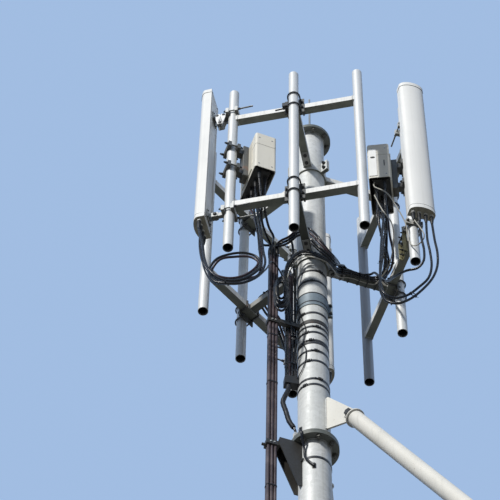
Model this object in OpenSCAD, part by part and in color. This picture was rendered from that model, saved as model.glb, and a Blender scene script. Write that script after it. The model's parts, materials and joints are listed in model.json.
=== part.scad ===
// Stayed monopole cell tower: a flanged tube mast held by two raking struts,
// with a three-sided antenna headframe, three panel antennas, two radio units and
// their cables.
// Millimetres, +Z up, origin at the centre of the mast's base plate underside.
// The front face of the headframe looks along -Y.

/* [Mast] */
// Outside diameter of the mast tube
mast_od = 219.1; // [193.7:0.1:228]
// Wall of the mast tube
mast_wall = 8; // [5:0.5:12]
// Length of the bottom section, ground to first joint
base_section_len = 5000; // [3000:100:6000]
// Length of each of the three sections above it
section_len = 4000; // [3600:50:4600]
// Radial width of the bolted flange outside the tube
flange_lip = 55; // [45:1:80]
// Thickness of one flange
flange_t = 20; // [12:1:30]
// Bolts round each flange joint
flange_bolts = 8; // [6:1:12]
// Flange bolt hole diameter
flange_hole_d = 22; // [14:1:26]
// Length of the lightning rod above the cap
rod_len = 700; // [300:10:1500]
// Diameter of the lightning rod
rod_d = 16; // [10:1:25]

/* [Footing plates] */
// Width of the mast base plate beyond the tube, each side
base_lip = 140; // [110:5:220]
// Thickness of the base plates
base_t = 30; // [20:1:50]
// Height of the stiffening ribs on the mast base
rib_h = 220; // [120:5:350]
// Anchor hole diameter
anchor_hole_d = 30; // [20:1:36]
// Side of the square plate under each strut
foot_plate = 320; // [260:5:450]

/* [Struts] */
// Outside diameter of the strut tube
strut_od = 108; // [76.1:0.1:139.7]
// Wall of the strut tube
strut_wall = 5; // [3:0.5:8]
// Lean of the struts from the vertical, degrees
strut_lean = 27.5; // [18:0.5:34]
// Height of the strut pin above the top joint of the braced section
strut_pin_up = 110; // [90:5:200]
// Distance of the strut pin from the mast axis
strut_pin_r = 315; // [270:5:380]
// Pin hole diameter in gusset and strut fork
strut_pin_d = 24; // [16:1:30]
// Thickness of the gusset plates
gusset_t = 14; // [8:1:20]

/* [Headframe] */
// Distance from the mast axis to the plane of the mount pipes
frame_r = 615; // [560:5:800]
// Half the spacing between the two end pipes of a face
pipe_half_span = 490; // [400:5:560]
// Outside diameter of the mount pipes
pipe_od = 76.1; // [60.3:0.1:88.9]
// Wall of the mount pipes
pipe_wall = 4; // [2.5:0.5:6]
// Length of the mount pipes
pipe_len = 2230; // [2100:10:2600]
// Drop of the pipe bottoms below the mast top
pipe_drop = 2350; // [2250:10:2600]
// Side of the square rails and arms
rail_w = 60; // [50:1:80]
// Wall of the square rails and arms
rail_wall = 4; // [2.5:0.5:6]
// Height of the lower rail above the pipe bottoms
low_rail_up = 540; // [400:10:700]
// Height of the upper rail above the pipe bottoms
high_rail_up = 1800; // [1500:10:1950]
// Height of the arm collars round the mast
collar_h = 130; // [100:5:180]
// Plate thickness of the arm collars
collar_t = 12; // [8:1:20]
// Thickness of the crossover plates that carry the middle pipes
plate_t = 8; // [5:1:12]
// Width of the crossover plates
plate_w = 150; // [140:5:190]
// Height of the crossover plates
plate_h = 200; // [180:5:240]
// Raise of the right face's antenna pipe above the other pipes
near_pipe_up = 200; // [0:10:220]

/* [Antennas] */
// Height of the antenna housing
ant_h = 1880; // [1700:10:2050]
// Width of the antenna across its face
ant_w = 200; // [180:5:300]
// Depth of the antenna, back to front
ant_d = 100; // [90:5:150]
// Gap from the mount pipe to the back of the left and right antennas
ant_gap = 120; // [115:1:150]
// Gap from the mount pipe to the back of the back antenna
back_ant_gap = 190; // [120:5:210]
// Height of the antenna bottom above the pipe bottoms
ant_up = 335; // [300:5:380]
// Pan of the left and right antennas from the face, degrees
ant_pan = -2.5; // [-6:0.5:6]
// Pan of the back antenna from the face, degrees
back_ant_pan = -27; // [-32:0.5:-20]
// Height of each pipe clamp
bracket_h = 60; // [40:1:70]

/* [Radio units] */
// Width of a radio unit
radio_w = 335; // [320:5:360]
// Height of a radio unit
radio_h = 484; // [420:4:560]
// Depth of a radio unit
radio_d = 166; // [156:2:200]
// Gap from the pipe axis to the back of a radio
radio_back = 130; // [110:5:150]
// Height of the left radio above the pipe bottoms
left_radio_up = 960; // [900:10:1100]
// Height of the right radio above the bottom of its raised pipe
right_radio_up = 935; // [800:5:1000]

/* [Cables] */
// Distance of the feeder run from the mast axis
run_r = 298; // [290:2:320]
// Diameter of one feeder
run_d = 21; // [16:1:22]
// Diameter of the cables of the headframe
cable_d = 18; // [10:1:20]

/* [Hidden] */
$fn = 48;

mast_r = mast_od / 2;
flange_od = mast_od + 2 * flange_lip;
flange_pcd = mast_od + flange_lip;
joint_1 = base_section_len;
joint_2 = joint_1 + section_len;
joint_3 = joint_2 + section_len;
mast_top = joint_3 + section_len;
base_od = mast_od + 2 * base_lip;
anchor_pcd = base_od - 2.6 * anchor_hole_d;
rib_w = base_lip - 2.9 * anchor_hole_d + 20;

pipe_r = pipe_od / 2;
pipe_z = mast_top - pipe_drop;
low_rail_z = pipe_z + low_rail_up;
high_rail_z = pipe_z + high_rail_up;
middle_r = frame_r + rail_w / 2 + plate_t + pipe_r;
collar_od = mast_od + 2 * collar_t;
ear_turns = [-30, 90, 210];
ear_t = 12;
ear_split = 6;
ear_out = 60;
ear_hole_d = 18;
cradle_h = 24;
cradle_d = 14;
ubolt_hole_d = 14;

// dark straps round the mast, heights above the top joint, and the one below it
strap_t = 3;
strap_h = 20;
strap_ups = [570, 633, 840, 957, 1052, 1080, 1179, 1246, 1418, 1824, 1955];
low_strap_up = -219;
sleeve_t = 5;
sleeve_h = 153;
sleeve_up = 1530;
sleeve_yaw = 13;

strut_pin_z = joint_3 + strut_pin_up;
strut_top_gap = 70;
foot_pin_z = base_t + 110;
strut_pin_len = (strut_pin_z - foot_pin_z) / cos(strut_lean);
foot_pin_r = strut_pin_r + (strut_pin_z - foot_pin_z) * tan(strut_lean);
fork_t = 12;
fork_w = 70;
fork_len = strut_top_gap + 60;
gusset_up = 350;

// turn of each face and its parts from the front face
front_yaw = 0;
right_yaw = 120;
left_yaw = 240;

// panel antenna: end caps a step wider than the radome, four connectors below
cap_h = 45;
cap_step = 2;
port_in = 45;
port_across = [70, 25, -25, -70];
port_len = 40;
upper_bracket_down = 360;
lower_bracket_up = 90;
elbow_drop = 110;
link_w = 40;
link_t = 5;
clamp_w = 130;
clamp_bar = 24;
stud_d = 12;
ant_stud = 130;
radio_stud = 40;

// radio unit: open cover round a finned body
cover_t = 4;
cover_r = 18;
groove_h = 8;
body_up = 14;
fin_count = 9;
fin_t = 3;
radio_clamp_up = 70;
left_radio_yaw = 32;
right_radio_yaw = 65;
radio_ports = [[50, -120], [50, -40], [50, 40], [50, 120], [110, -80], [110, 80]];
radio_port_len = 34;

// feeder run and what holds it
run_yaw = 210;
run_count = 3;
run_pitch = run_d + 3;
run_w = run_count * run_pitch;
run_top = low_rail_z + 40;
run_foot = 450;
first_clamp_up = 300;
band_t = 4;
band_h = 40;
bracket_step = 1300;
arm_off = 4;
knee_h = 440;
knee_t = 8;
knee_gap = 72;
knee_reach = run_r - run_w / 2 - 7;
box_yaw = 202.5;
box_w = 60;
box_h = 80;
box_z = joint_3 + 660;
lug_yaw = 216;
lug_z = joint_3 + 60;

// cable routes in millimetres, heights from the pipe bottoms
cable_sides = 8;
straight = [0, 0, 60];
// left antenna to the left radio, two of them with a spare loop
left_a_route = [[-660, -670, 0], [-640, -670, -180], [-600, -670, -340], [-520, -650, -440],
    [-420, -630, -460], [-330, -610, -400], [-260, -590, -280], [-280, -590, -150],
    [-360, -610, -100], [-460, -630, -110], [-560, -650, -180], [-612, -640, -300],
    [-570, -640, -440], [-470, -640, -490], [-380, -620, -485], [-280, -585, -380],
    [-232, -560, -200], [-252, -545, 20], [-272, -545, 290], [-300, -540, 550]];
left_b_route = [[-690, -630, 40], [-660, -630, -160], [-592, -614, -325], [-520, -610, -390],
    [-410, -590, -390], [-330, -570, -320], [-270, -540, -170], [-280, -535, 50],
    [-300, -510, 320], [-330, -500, 590]];
left_c_route = [[-680, -590, 40], [-650, -600, -140], [-600, -600, -270], [-500, -580, -330],
    [-400, -560, -310], [-320, -540, -220], [-290, -520, -100], [-350, -530, -30],
    [-450, -550, -30], [-550, -580, -80], [-612, -562, -180], [-575, -572, -305],
    [-470, -560, -360], [-370, -560, -350], [-290, -490, -210], [-275, -475, 10],
    [-300, -465, 320], [-340, -460, 600]];
// right antenna to the right radio
right_a_route = [[940, -260, 220], [950, -260, 50], [940, -250, -100], [900, -250, -240],
    [830, -260, -370], [740, -270, -480], [650, -280, -530], [570, -280, -480],
    [530, -270, -330], [530, -240, -100], [550, -210, 160], [560, -160, 440],
    [580, -130, 680]];
right_b_route = [[890, -280, 210], [900, -270, 50], [900, -260, -110], [870, -260, -250],
    [800, -265, -350], [720, -275, -440], [630, -300, -490], [560, -320, -440],
    [540, -320, -320], [540, -295, -100], [550, -275, 150], [560, -235, 420]];
// right antenna along the right arm to the mast
right_c_route = [[850, -300, 220], [860, -290, 70], [850, -290, -70], [800, -270, -120],
    [720, -250, -100], [630, -160, -10], [560, -30, 140], [500, 120, 410],
    [440, 186, 600], [400, 215, 630], [300, 173, 604], [210, 120, 636],
    [180, 60, 658], [175, -65, 525], [140, -135, 525], [90, -175, 624],
    [30, -175, 757], [-20, -190, 790], [-70, -190, 800], [-125, -145, 740],
    [-120, -122, 670], [-118, -112, 560], [-118, -103, 440]];
// back antenna along the left rail and arm to the mast
back_0_route = [[-110, 890, 80], [-210, 780, 40], [-285, 625, 230], [-325, 560, 410],
    [-365, 485, 560], [-425, 390, 600], [-450, 255, 590], [-393, 199, 580],
    [-315, 154, 580], [-237, 109, 582], [-222, 68, 585], [-215, 0, 540],
    [-205, -40, 440]];
back_1_route = [[-80, 845, 90], [-190, 745, 30], [-268, 595, 230], [-305, 535, 410],
    [-345, 460, 560], [-400, 380, 600], [-425, 265, 590], [-381, 220, 580],
    [-303, 175, 580], [-225, 130, 582], [-200, 70, 587], [-190, 0, 540],
    [-180, -40, 440]];
back_2_route = [[-50, 800, 100], [-170, 705, 20], [-250, 565, 230], [-285, 510, 410],
    [-325, 440, 560], [-375, 370, 600], [-395, 275, 590], [-369, 241, 580],
    [-291, 196, 580], [-213, 151, 582], [-175, 75, 590], [-165, 15, 540],
    [-155, -25, 440]];
// right radio along the right arm and round the mast to the feeders
arm_a_route = [[570, -40, 830], [560, 20, 640], [560, 95, 535], [478, 258, 630],
    [407, 235, 588], [303, 175, 580], [214, 125, 581], [203, 76, 593],
    [175, -65, 460], [140, -135, 460], [90, -165, 515], [30, -165, 640],
    [-20, -190, 715], [-70, -190, 725], [-140, -170, 680], [-200, -170, 650]];
arm_b_route = [[590, 20, 820], [600, 80, 670], [572, 140, 565], [490, 300, 680],
    [393, 260, 593], [291, 196, 582], [206, 146, 592], [186, 62, 614],
    [175, -65, 493], [140, -135, 493], [90, -170, 574], [30, -170, 704],
    [-20, -190, 755], [-70, -190, 765], [-140, -170, 720], [-205, -165, 690]];
arm_c_route = [[540, -180, 700], [550, -100, 530], [550, 0, 440], [495, 190, 580],
    [420, 215, 584], [315, 154, 580], [238, 98, 582], [229, 68, 580],
    [175, -65, 420], [140, -135, 420], [90, -165, 470], [30, -165, 595],
    [-20, -190, 675], [-70, -190, 685], [-140, -170, 640], [-210, -175, 605]];
// left radio to the feeders
tail_a_route = [[-270, -540, 640], [-285, -470, 590], [-290, -380, 590], [-286, -270, 620]];
tail_b_route = [[-250, -520, 620], [-250, -450, 570], [-248, -360, 580], [-240, -250, 640]];
tail_c_route = [[-300, -460, 650], [-315, -390, 600], [-325, -300, 600], [-332, -188, 645]];
// cable box to the earth lug, heights from the top joint
earth_route = [[-160, -78, 600], [-180, -108, 480], [-190, -110, 420], [-170, -112, 320],
    [-150, -100, 220], [-122, -86, 160], [-112, -81, 130]];

// point q turned about the mast axis by angle a
function turned(q, a) = [q[0] * cos(a) - q[1] * sin(a), q[0] * sin(a) + q[1] * cos(a)];

// point q beside the left end pipe of the face with this yaw, at height z
function from_pipe(yaw, q, z) =
    let (w = turned([q[0] - pipe_half_span, q[1] - frame_r], yaw)) [w[0], w[1], z];

// lower end of connector i of the antenna on the face with this yaw
function antenna_port(yaw, pan, gap, up, i) =
    from_pipe(yaw, turned([-pipe_r - gap - port_in, port_across[i]], pan),
        pipe_z + up + ant_up - port_len);

// lower end of connector i of a radio
function radio_port(face_yaw, yaw, up, i) =
    from_pipe(face_yaw, turned([radio_back + radio_ports[i][0], radio_ports[i][1]], yaw),
        pipe_z + up + body_up - radio_port_len);

function left_port(i) = antenna_port(front_yaw, ant_pan, ant_gap, 0, i);
function right_port(i) = antenna_port(right_yaw, ant_pan, ant_gap, near_pipe_up, i);
function back_port(i) = antenna_port(left_yaw, back_ant_pan, back_ant_gap, 0, i);
function left_radio_port(i) = radio_port(front_yaw, left_radio_yaw, left_radio_up, i);
function right_radio_port(i) =
    radio_port(right_yaw, right_radio_yaw, near_pipe_up + right_radio_up, i);

// top of feeder i of the run, on its near side for j = 1 and its far side for j = -1
function feeder_top(i, j) =
    let (w = turned([run_r + (i - (run_count - 1) / 2) * run_pitch, j * run_pitch / 2], run_yaw))
    [w[0], w[1], run_top];

// point beside the mast surface
function by_mast(yaw, gap, z) =
    [(mast_r + gap) * cos(yaw), (mast_r + gap) * sin(yaw), z];

// route points lifted to the height of the pipe bottoms
function lifted(route) = [for (q = route) q + [0, 0, pipe_z]];

// route from connector a to connector b, leaving both straight down
function lead(a, route, b) = concat([a, a - straight], lifted(route), [b - straight, b]);

// route from connector a to the top of a feeder, reached from this far above it
function feeder_lead(a, route, rise, b) =
    concat([a, a - straight], lifted(route), [b + [0, 0, rise], b]);

// route from connector a to the mast and down it to the cable box
function mast_lead(a, route, yaw, gap) =
    concat([a, a - straight], lifted(route),
        [for (up = [320, 50, -350]) by_mast(yaw, gap, pipe_z + up)],
        [by_mast(yaw, gap, box_z + box_h)]);

function unit(v) = v / norm(v);

// direction of a route at point i
function heading(p, i) = unit(p[min(i + 1, len(p) - 1)] - p[max(i - 1, 0)]);

// point on a smooth curve from b to c with neighbours a and d
function between(a, b, c, d, u) =
    0.5 * (2 * b + (c - a) * u + (2 * a - 5 * b + 4 * c - d) * u * u
        + (3 * b - a - 3 * c + d) * u * u * u);

// route with a point every three cable diameters
function smooth(p) =
    let (last = len(p) - 1)
    concat([for (i = [0 : last - 1])
        let (count = max(1, round(norm(p[i + 1] - p[i]) / (3 * cable_d))))
        for (j = [0 : count - 1])
            between(p[max(i - 1, 0)], p[i], p[i + 1], p[min(i + 2, last)], j / count)],
        [p[last]]);

// sideways directions carried along a route without twist
function sides(p, i, s) =
    let (t = heading(p, i), side = unit(s - (s * t) * t))
    i == len(p) - 1 ? [side] : concat([side], sides(p, i + 1, side));

// straight round tube standing on z = 0
module tube(od, wall, h) {
    difference() {
        cylinder(d = od, h = h);
        translate([0, 0, -1]) cylinder(d = od - 2 * wall, h = h + 2);
    }
}

// flange ring with its bolt holes, standing on z = 0
module flange() {
    difference() {
        cylinder(d = flange_od, h = flange_t);
        translate([0, 0, -1]) cylinder(d = mast_od - 2 * mast_wall, h = flange_t + 2);
        for (i = [0 : flange_bolts - 1])
            rotate([0, 0, (i + 0.5) * 360 / flange_bolts])
                translate([flange_pcd / 2, 0, -1])
                    cylinder(d = flange_hole_d, h = flange_t + 2);
    }
}

// mast length between two joints with a flange at each end
module mast_section(z0, z1) {
    translate([0, 0, z0]) tube(mast_od, mast_wall, z1 - z0);
    translate([0, 0, z0]) flange();
    translate([0, 0, z1 - flange_t]) flange();
}

// square tube along +X from x0 to x1, centred on the axis
module box_tube(x0, x1) {
    inner = rail_w - 2 * rail_wall;
    difference() {
        translate([x0, -rail_w / 2, -rail_w / 2]) cube([x1 - x0, rail_w, rail_w]);
        translate([x0 - 1, -inner / 2, -inner / 2]) cube([x1 - x0 + 2, inner, inner]);
    }
}

// upper and lower rail of one face, ends coped round the end pipes
module rail_pair() {
    for (z = [low_rail_z, high_rail_z])
        difference() {
            translate([0, -frame_r, z]) box_tube(-pipe_half_span, pipe_half_span);
            for (s = [-1, 1])
                translate([s * pipe_half_span, -frame_r, z - rail_w])
                    cylinder(d = pipe_od, h = 2 * rail_w);
        }
}

// mount pipe of the front face at sideways position x, raised by up
module mount_pipe(x, r, up) {
    translate([x, -r, pipe_z + up]) tube(pipe_od, pipe_wall, pipe_len);
}

// crossover plates that seat the middle pipe on both rails, drilled for their U-bolts
module pipe_saddles() {
    y1 = -frame_r - rail_w / 2;
    for (z = [low_rail_z, high_rail_z]) {
        difference() {
            translate([-plate_w / 2, y1 - plate_t, z - plate_h / 2])
                cube([plate_w, plate_t, plate_h]);
            for (x = [-1, 1], h = [-1, 1]) {
                translate([x * (pipe_r + 8), y1 + 1, z + h * plate_h * 0.4])
                    rotate([90, 0, 0]) cylinder(d = ubolt_hole_d, h = plate_t + 2);
                translate([x * plate_w * 0.4, y1 + 1, z + h * (rail_w / 2 + 8)])
                    rotate([90, 0, 0]) cylinder(d = ubolt_hole_d, h = plate_t + 2);
            }
        }
        for (h = [-1, 1])
            difference() {
                translate([-pipe_r * 0.8, y1 - plate_t - cradle_d,
                    z + h * plate_h * 0.27 - cradle_h / 2])
                    cube([pipe_r * 1.6, cradle_d, cradle_h]);
                translate([0, -middle_r, z - plate_h]) cylinder(d = pipe_od, h = 2 * plate_h);
            }
    }
}

// outline of the three-part clamp, split between each pair of ears
module collar_outline() {
    difference() {
        union() {
            circle(d = collar_od);
            for (a = ear_turns)
                rotate([0, 0, a]) translate([mast_r + 3, -ear_t - ear_split / 2])
                    square([collar_t + ear_out - 3, 2 * ear_t + ear_split]);
        }
        circle(d = mast_od);
        for (a = ear_turns)
            rotate([0, 0, a]) translate([mast_r - 5, -ear_split / 2])
                square([collar_t + ear_out + 10, ear_split]);
    }
}

// three-part clamp round the mast with bolted ears between the arms
module collar(z) {
    translate([0, 0, z - collar_h / 2])
        difference() {
            linear_extrude(height = collar_h) collar_outline();
            for (a = ear_turns, h = [0.25, 0.75])
                rotate([0, 0, a])
                    translate([mast_r + collar_t + ear_out * 0.55, 2 * ear_t, collar_h * h])
                        rotate([90, 0, 0]) cylinder(d = ear_hole_d, h = 4 * ear_t);
        }
}

// three arms from the collar out to the rails
module arms(z) {
    for (a = [-90, 30, 150])
        difference() {
            rotate([0, 0, a]) translate([0, 0, z])
                box_tube(mast_r, frame_r - rail_w / 2);
            translate([0, 0, z - rail_w]) cylinder(d = collar_od, h = 2 * rail_w);
        }
}

// welded gusset plate on the mast, drawn along +X
module strut_gusset() {
    plate_top = strut_pin_z + gusset_up;
    plate_foot = strut_pin_z - 60;
    difference() {
        rotate([90, 0, 0]) translate([0, 0, -gusset_t / 2])
            linear_extrude(height = gusset_t)
                polygon([[mast_r - 5, plate_foot + 80], [mast_r - 5, plate_top],
                    [mast_r + 20, plate_top],
                    [strut_pin_r + 20, strut_pin_z + 45],
                    [strut_pin_r + 38, strut_pin_z + 15],
                    [strut_pin_r + 38, strut_pin_z - 30],
                    [strut_pin_r - 10, plate_foot]]);
        translate([0, 0, plate_foot]) cylinder(d = mast_od, h = plate_top);
        translate([strut_pin_r, 20, strut_pin_z]) rotate([90, 0, 0])
            cylinder(d = strut_pin_d, h = 40);
    }
}

// fork of two cheek plates and an end disc, drawn with the pin at the origin
module strut_fork() {
    difference() {
        for (s = [-1, 1])
            translate([-fork_w / 2, s * (gusset_t + fork_t) / 2 - fork_t / 2, -strut_top_gap])
                cube([fork_w, fork_t, fork_len - 20]);
        rotate([90, 0, 0]) translate([0, 0, -60]) cylinder(d = strut_pin_d, h = 120);
    }
    translate([0, 0, -strut_top_gap - 10]) cylinder(d = strut_od + 24, h = 10);
}

// raking tube with a fork at each end, drawn along +X
module strut() {
    body_len = strut_pin_len - 2 * (strut_top_gap + 10);
    translate([strut_pin_r, 0, strut_pin_z]) rotate([0, -strut_lean, 0]) {
        strut_fork();
        translate([0, 0, -strut_pin_len]) rotate([180, 0, 0]) strut_fork();
        translate([0, 0, -strut_top_gap - 10 - body_len]) tube(strut_od, strut_wall, body_len);
    }
}

// ground plate with one upright lug and four anchor holes, drawn along +X
module strut_foot() {
    hole = foot_plate / 2 - 45;
    translate([foot_pin_r, 0, 0]) {
        difference() {
            translate([-foot_plate / 2, -foot_plate / 2, 0])
                cube([foot_plate, foot_plate, base_t]);
            for (x = [-1, 1], y = [-1, 1])
                translate([x * hole, y * hole, -1])
                    cylinder(d = anchor_hole_d, h = base_t + 2);
        }
        rotate([90, 0, 0]) translate([0, 0, -gusset_t / 2])
            difference() {
                linear_extrude(height = gusset_t)
                    polygon([[-90, base_t], [90, base_t], [40, foot_pin_z + 35],
                        [-40, foot_pin_z + 35]]);
                translate([0, foot_pin_z, -1]) cylinder(d = strut_pin_d, h = gusset_t + 2);
            }
    }
}

// coaxial connector hanging below a housing, its top at z = 0
module connector(h) {
    translate([0, 0, -h]) cylinder(d = 22, h = h);
    translate([0, 0, -h * 0.45]) cylinder(d = 32, h = h * 0.45, $fn = 6);
}

// section of a panel antenna facing -X with a flat back and a rounded front
module antenna_outline(inset) {
    half = ant_w / 2 - inset;
    flat_d = ant_d / 2;
    translate([-flat_d, -half]) square([flat_d, 2 * half]);
    translate([-flat_d, 0]) scale([(ant_d - flat_d - inset) / half, 1]) circle(r = half);
}

// panel antenna standing on z = 0 with its back on x = 0
module antenna() {
    for (z = [0, ant_h - cap_h])
        translate([0, 0, z]) linear_extrude(height = cap_h) antenna_outline(0);
    translate([0, 0, cap_h])
        linear_extrude(height = ant_h - 2 * cap_h) antenna_outline(cap_step);
    for (y = port_across)
        translate([-port_in, y, 0]) connector(port_len);
}

// two clamp bars round the mount pipe and the long studs that draw them together,
// standing on z = 0 with the front towards -X
module pipe_clamp(stud) {
    inner = pipe_r - 14;
    difference() {
        for (x = [-inner - clamp_bar, inner])
            translate([x, -clamp_w / 2, 0]) cube([clamp_bar, clamp_w, bracket_h]);
        translate([0, 0, -1]) cylinder(d = pipe_od, h = bracket_h + 2);
    }
    for (s = [-1, 1])
        translate([-pipe_r - 22, s * (pipe_r + 14), bracket_h / 2])
            rotate([0, 90, 0]) cylinder(d = stud_d, h = 2 * pipe_r + 22 + stud);
}

// plate on the antenna's back
module back_plate(reach) {
    translate([-reach, -50, -20]) cube([8, 100, bracket_h + 40]);
}

// lower antenna bracket: a hinge between the antenna's back and a pipe clamp
module lower_bracket(gap) {
    reach = pipe_r + gap;
    pin_z = bracket_h / 2;
    pipe_clamp(ant_stud);
    back_plate(reach);
    for (y = [14, -20])
        translate([-reach, y, pin_z - 25]) cube([76, 6, 50]);
    translate([-reach + 30, -14, pin_z - 20]) cube([gap - 38, 28, 40]);
    translate([-reach + 55, 28, pin_z]) rotate([90, 0, 0]) cylinder(d = 16, h = 56);
}

// flat link in the plane of x and z from point a to point b, wider at its round ends
module link(a, b) {
    rotate([90, 0, 0]) linear_extrude(height = link_t) {
        translate(a) rotate(atan2(b[1] - a[1], b[0] - a[0]))
            translate([0, -link_w * 0.4]) square([norm(b - a), link_w * 0.8]);
        translate(a) circle(d = link_w);
        translate(b) circle(d = link_w);
    }
}

// upper antenna bracket: a pair of folding links between the antenna and a pipe clamp
module upper_bracket(gap) {
    reach = pipe_r + gap;
    pin_z = bracket_h / 2;
    front = [-reach + 35, pin_z];
    rear = [-pipe_r - 35, pin_z];
    elbow = [(front[0] + rear[0]) / 2, pin_z - elbow_drop];
    pipe_clamp(ant_stud);
    back_plate(reach);
    translate([-reach, -15, pin_z - 16]) cube([50, 30, 32]);
    translate([-pipe_r - 50, -20, pin_z - 16]) cube([45, 40, 32]);
    for (y = [20, -15])
        translate([0, y, 0]) link(front, elbow);
    for (y = [25, -20])
        translate([0, y, 0]) link(elbow, rear);
    for (q = [front, elbow, rear])
        translate([q[0], 32, q[1]]) rotate([90, 0, 0]) cylinder(d = 14, h = 64);
}

// puts an antenna part on the left end pipe of a face
module on_antenna_pipe(pan, up) {
    translate([-pipe_half_span, -frame_r, pipe_z + up + ant_up]) rotate([0, 0, pan])
        children();
}

module antenna_on_pipe(pan, gap, up) {
    on_antenna_pipe(pan, up) translate([-pipe_r - gap, 0, 0]) antenna();
}

module antenna_brackets(pan, gap, up) {
    on_antenna_pipe(pan, up) {
        translate([0, 0, lower_bracket_up]) lower_bracket(gap);
        translate([0, 0, ant_h - upper_bracket_down]) upper_bracket(gap);
    }
}

// radio section with rounded corners, back on x = 0
module radio_outline(inset) {
    r = cover_r - inset;
    for (y = [-1, 1], x = [cover_r, radio_d - cover_r])
        translate([x, y * (radio_w / 2 - cover_r)]) circle(r = r);
    translate([inset, -radio_w / 2 + cover_r])
        square([radio_d - 2 * inset, radio_w - 2 * cover_r]);
    translate([cover_r, -radio_w / 2 + inset])
        square([radio_d - 2 * cover_r, radio_w - 2 * inset]);
}

// cover of a radio, open below, with a groove round it
module radio_cover() {
    difference() {
        linear_extrude(height = radio_h) radio_outline(0);
        translate([0, 0, -1]) linear_extrude(height = radio_h - cover_t + 1)
            radio_outline(cover_t);
        translate([0, 0, radio_h * 2 / 3]) linear_extrude(height = groove_h)
            difference() {
                translate([-5, -radio_w]) square([2 * radio_d, 2 * radio_w]);
                radio_outline(cover_t / 2);
            }
    }
}

// finned body of a radio inside its cover, with connectors below
module radio() {
    body_h = radio_h - cover_t - body_up;
    core_d = radio_d - 36;
    core_w = radio_w - 68;
    translate([cover_t, -core_w / 2, body_up]) cube([core_d, core_w, body_h]);
    for (i = [0 : fin_count - 1])
        translate([cover_t + 12 + i * (core_d - 24) / (fin_count - 1), -radio_w / 2 + 8, body_up])
            cube([fin_t, radio_w - 16, body_h]);
    for (q = radio_ports)
        translate([q[0], q[1], body_up]) connector(radio_port_len);
}

// back plate of a radio with two pipe clamps behind it
module radio_bracket() {
    for (z = [radio_clamp_up, radio_h - radio_clamp_up - bracket_h])
        translate([-radio_back, 0, z]) {
            rotate([0, 0, 180]) pipe_clamp(radio_stud);
            translate([pipe_r + 6, -25, 0]) cube([radio_back - pipe_r - 12, 50, bracket_h]);
        }
    translate([-8, -radio_w * 0.3, 40]) cube([8, radio_w * 0.6, radio_h - 80]);
}

// puts a radio part, its back on x = 0, behind the left end pipe of a face
module at_radio(face_yaw, yaw, up) {
    rotate([0, 0, face_yaw]) translate([-pipe_half_span, -frame_r, pipe_z + up])
        rotate([0, 0, yaw]) translate([radio_back, 0, 0]) children();
}

module at_left_radio() {
    at_radio(front_yaw, left_radio_yaw, left_radio_up) children();
}

module at_right_radio() {
    at_radio(right_yaw, right_radio_yaw, near_pipe_up + right_radio_up) children();
}

// clamp sleeve with one split between two ears
module sleeve() {
    sleeve_r = mast_r + sleeve_t;
    difference() {
        linear_extrude(height = sleeve_h)
            difference() {
                union() {
                    circle(r = sleeve_r);
                    rotate(sleeve_yaw) translate([mast_r, -11]) square([sleeve_t + 30, 22]);
                }
                circle(r = mast_r);
                rotate(sleeve_yaw) translate([mast_r - 5, -3]) square([sleeve_t + 40, 6]);
            }
        for (h = [0.2, 0.8])
            rotate([0, 0, sleeve_yaw]) translate([sleeve_r + 16, 12, sleeve_h * h])
                rotate([90, 0, 0]) cylinder(d = 14, h = 24);
    }
}

// feeders side by side along +X, standing on z = 0
module feeders(h) {
    for (i = [0 : run_count - 1], j = [-0.5, 0.5])
        translate([run_r + (i - (run_count - 1) / 2) * run_pitch, j * run_pitch, 0])
            cylinder(d = run_d, h = h, $fn = 16);
}

// split block that grips all the feeders
module feeder_clamp() {
    difference() {
        translate([run_r - run_w / 2 - 7, -run_pitch - 6, 0])
            cube([run_w + 14, 2 * run_pitch + 12, band_h]);
        translate([0, 0, -1]) feeders(band_h + 2);
    }
}

// band round the mast with an arm out to a feeder clamp, at height z
module feeder_bracket(z) {
    translate([0, 0, z]) {
        tube(mast_od + 2 * band_t, band_t, band_h);
        difference() {
            translate([mast_r - 8, arm_off, 0]) cube([knee_reach - mast_r + 8, 32, band_h]);
            translate([mast_r - 8, arm_off + 4, band_t]) cube([run_r, 24, band_h]);
            translate([0, 0, -1]) cylinder(d = mast_od, h = band_h + 2);
        }
        feeder_clamp();
    }
}

// two gusset plates and a top plate under the flange at height z, with a feeder clamp
module knee_bracket(z) {
    difference() {
        for (y = [knee_gap / 2 + knee_t, -knee_gap / 2])
            translate([0, y, z]) rotate([90, 0, 0]) linear_extrude(height = knee_t)
                polygon([[mast_r - 15, 0], [knee_reach, 0], [knee_reach, -70],
                    [mast_r + 18, -knee_h], [mast_r - 15, -knee_h]]);
        translate([0, 0, z - knee_h - 1]) cylinder(d = mast_od, h = knee_h + 2);
    }
    difference() {
        translate([mast_r - 15, -knee_gap / 2 - knee_t, z - knee_t])
            cube([knee_reach - mast_r + 15, knee_gap + 2 * knee_t, knee_t]);
        translate([0, 0, z - knee_t - 1]) {
            cylinder(d = mast_od, h = knee_t + 2);
            for (i = [0 : flange_bolts - 1])
                rotate([0, 0, (i + 0.5) * 360 / flange_bolts - run_yaw])
                    translate([flange_pcd / 2, 0, 0])
                        cylinder(d = 2 * flange_hole_d, h = knee_t + 2);
        }
    }
    translate([knee_reach - knee_t, -knee_gap / 2 - knee_t, z - 70])
        cube([knee_t, knee_gap + 2 * knee_t, 70]);
    translate([0, 0, z - 70]) feeder_clamp();
    translate([run_r + run_w / 2, -8, z - 70]) cube([30, 16, 12]);
}

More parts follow.
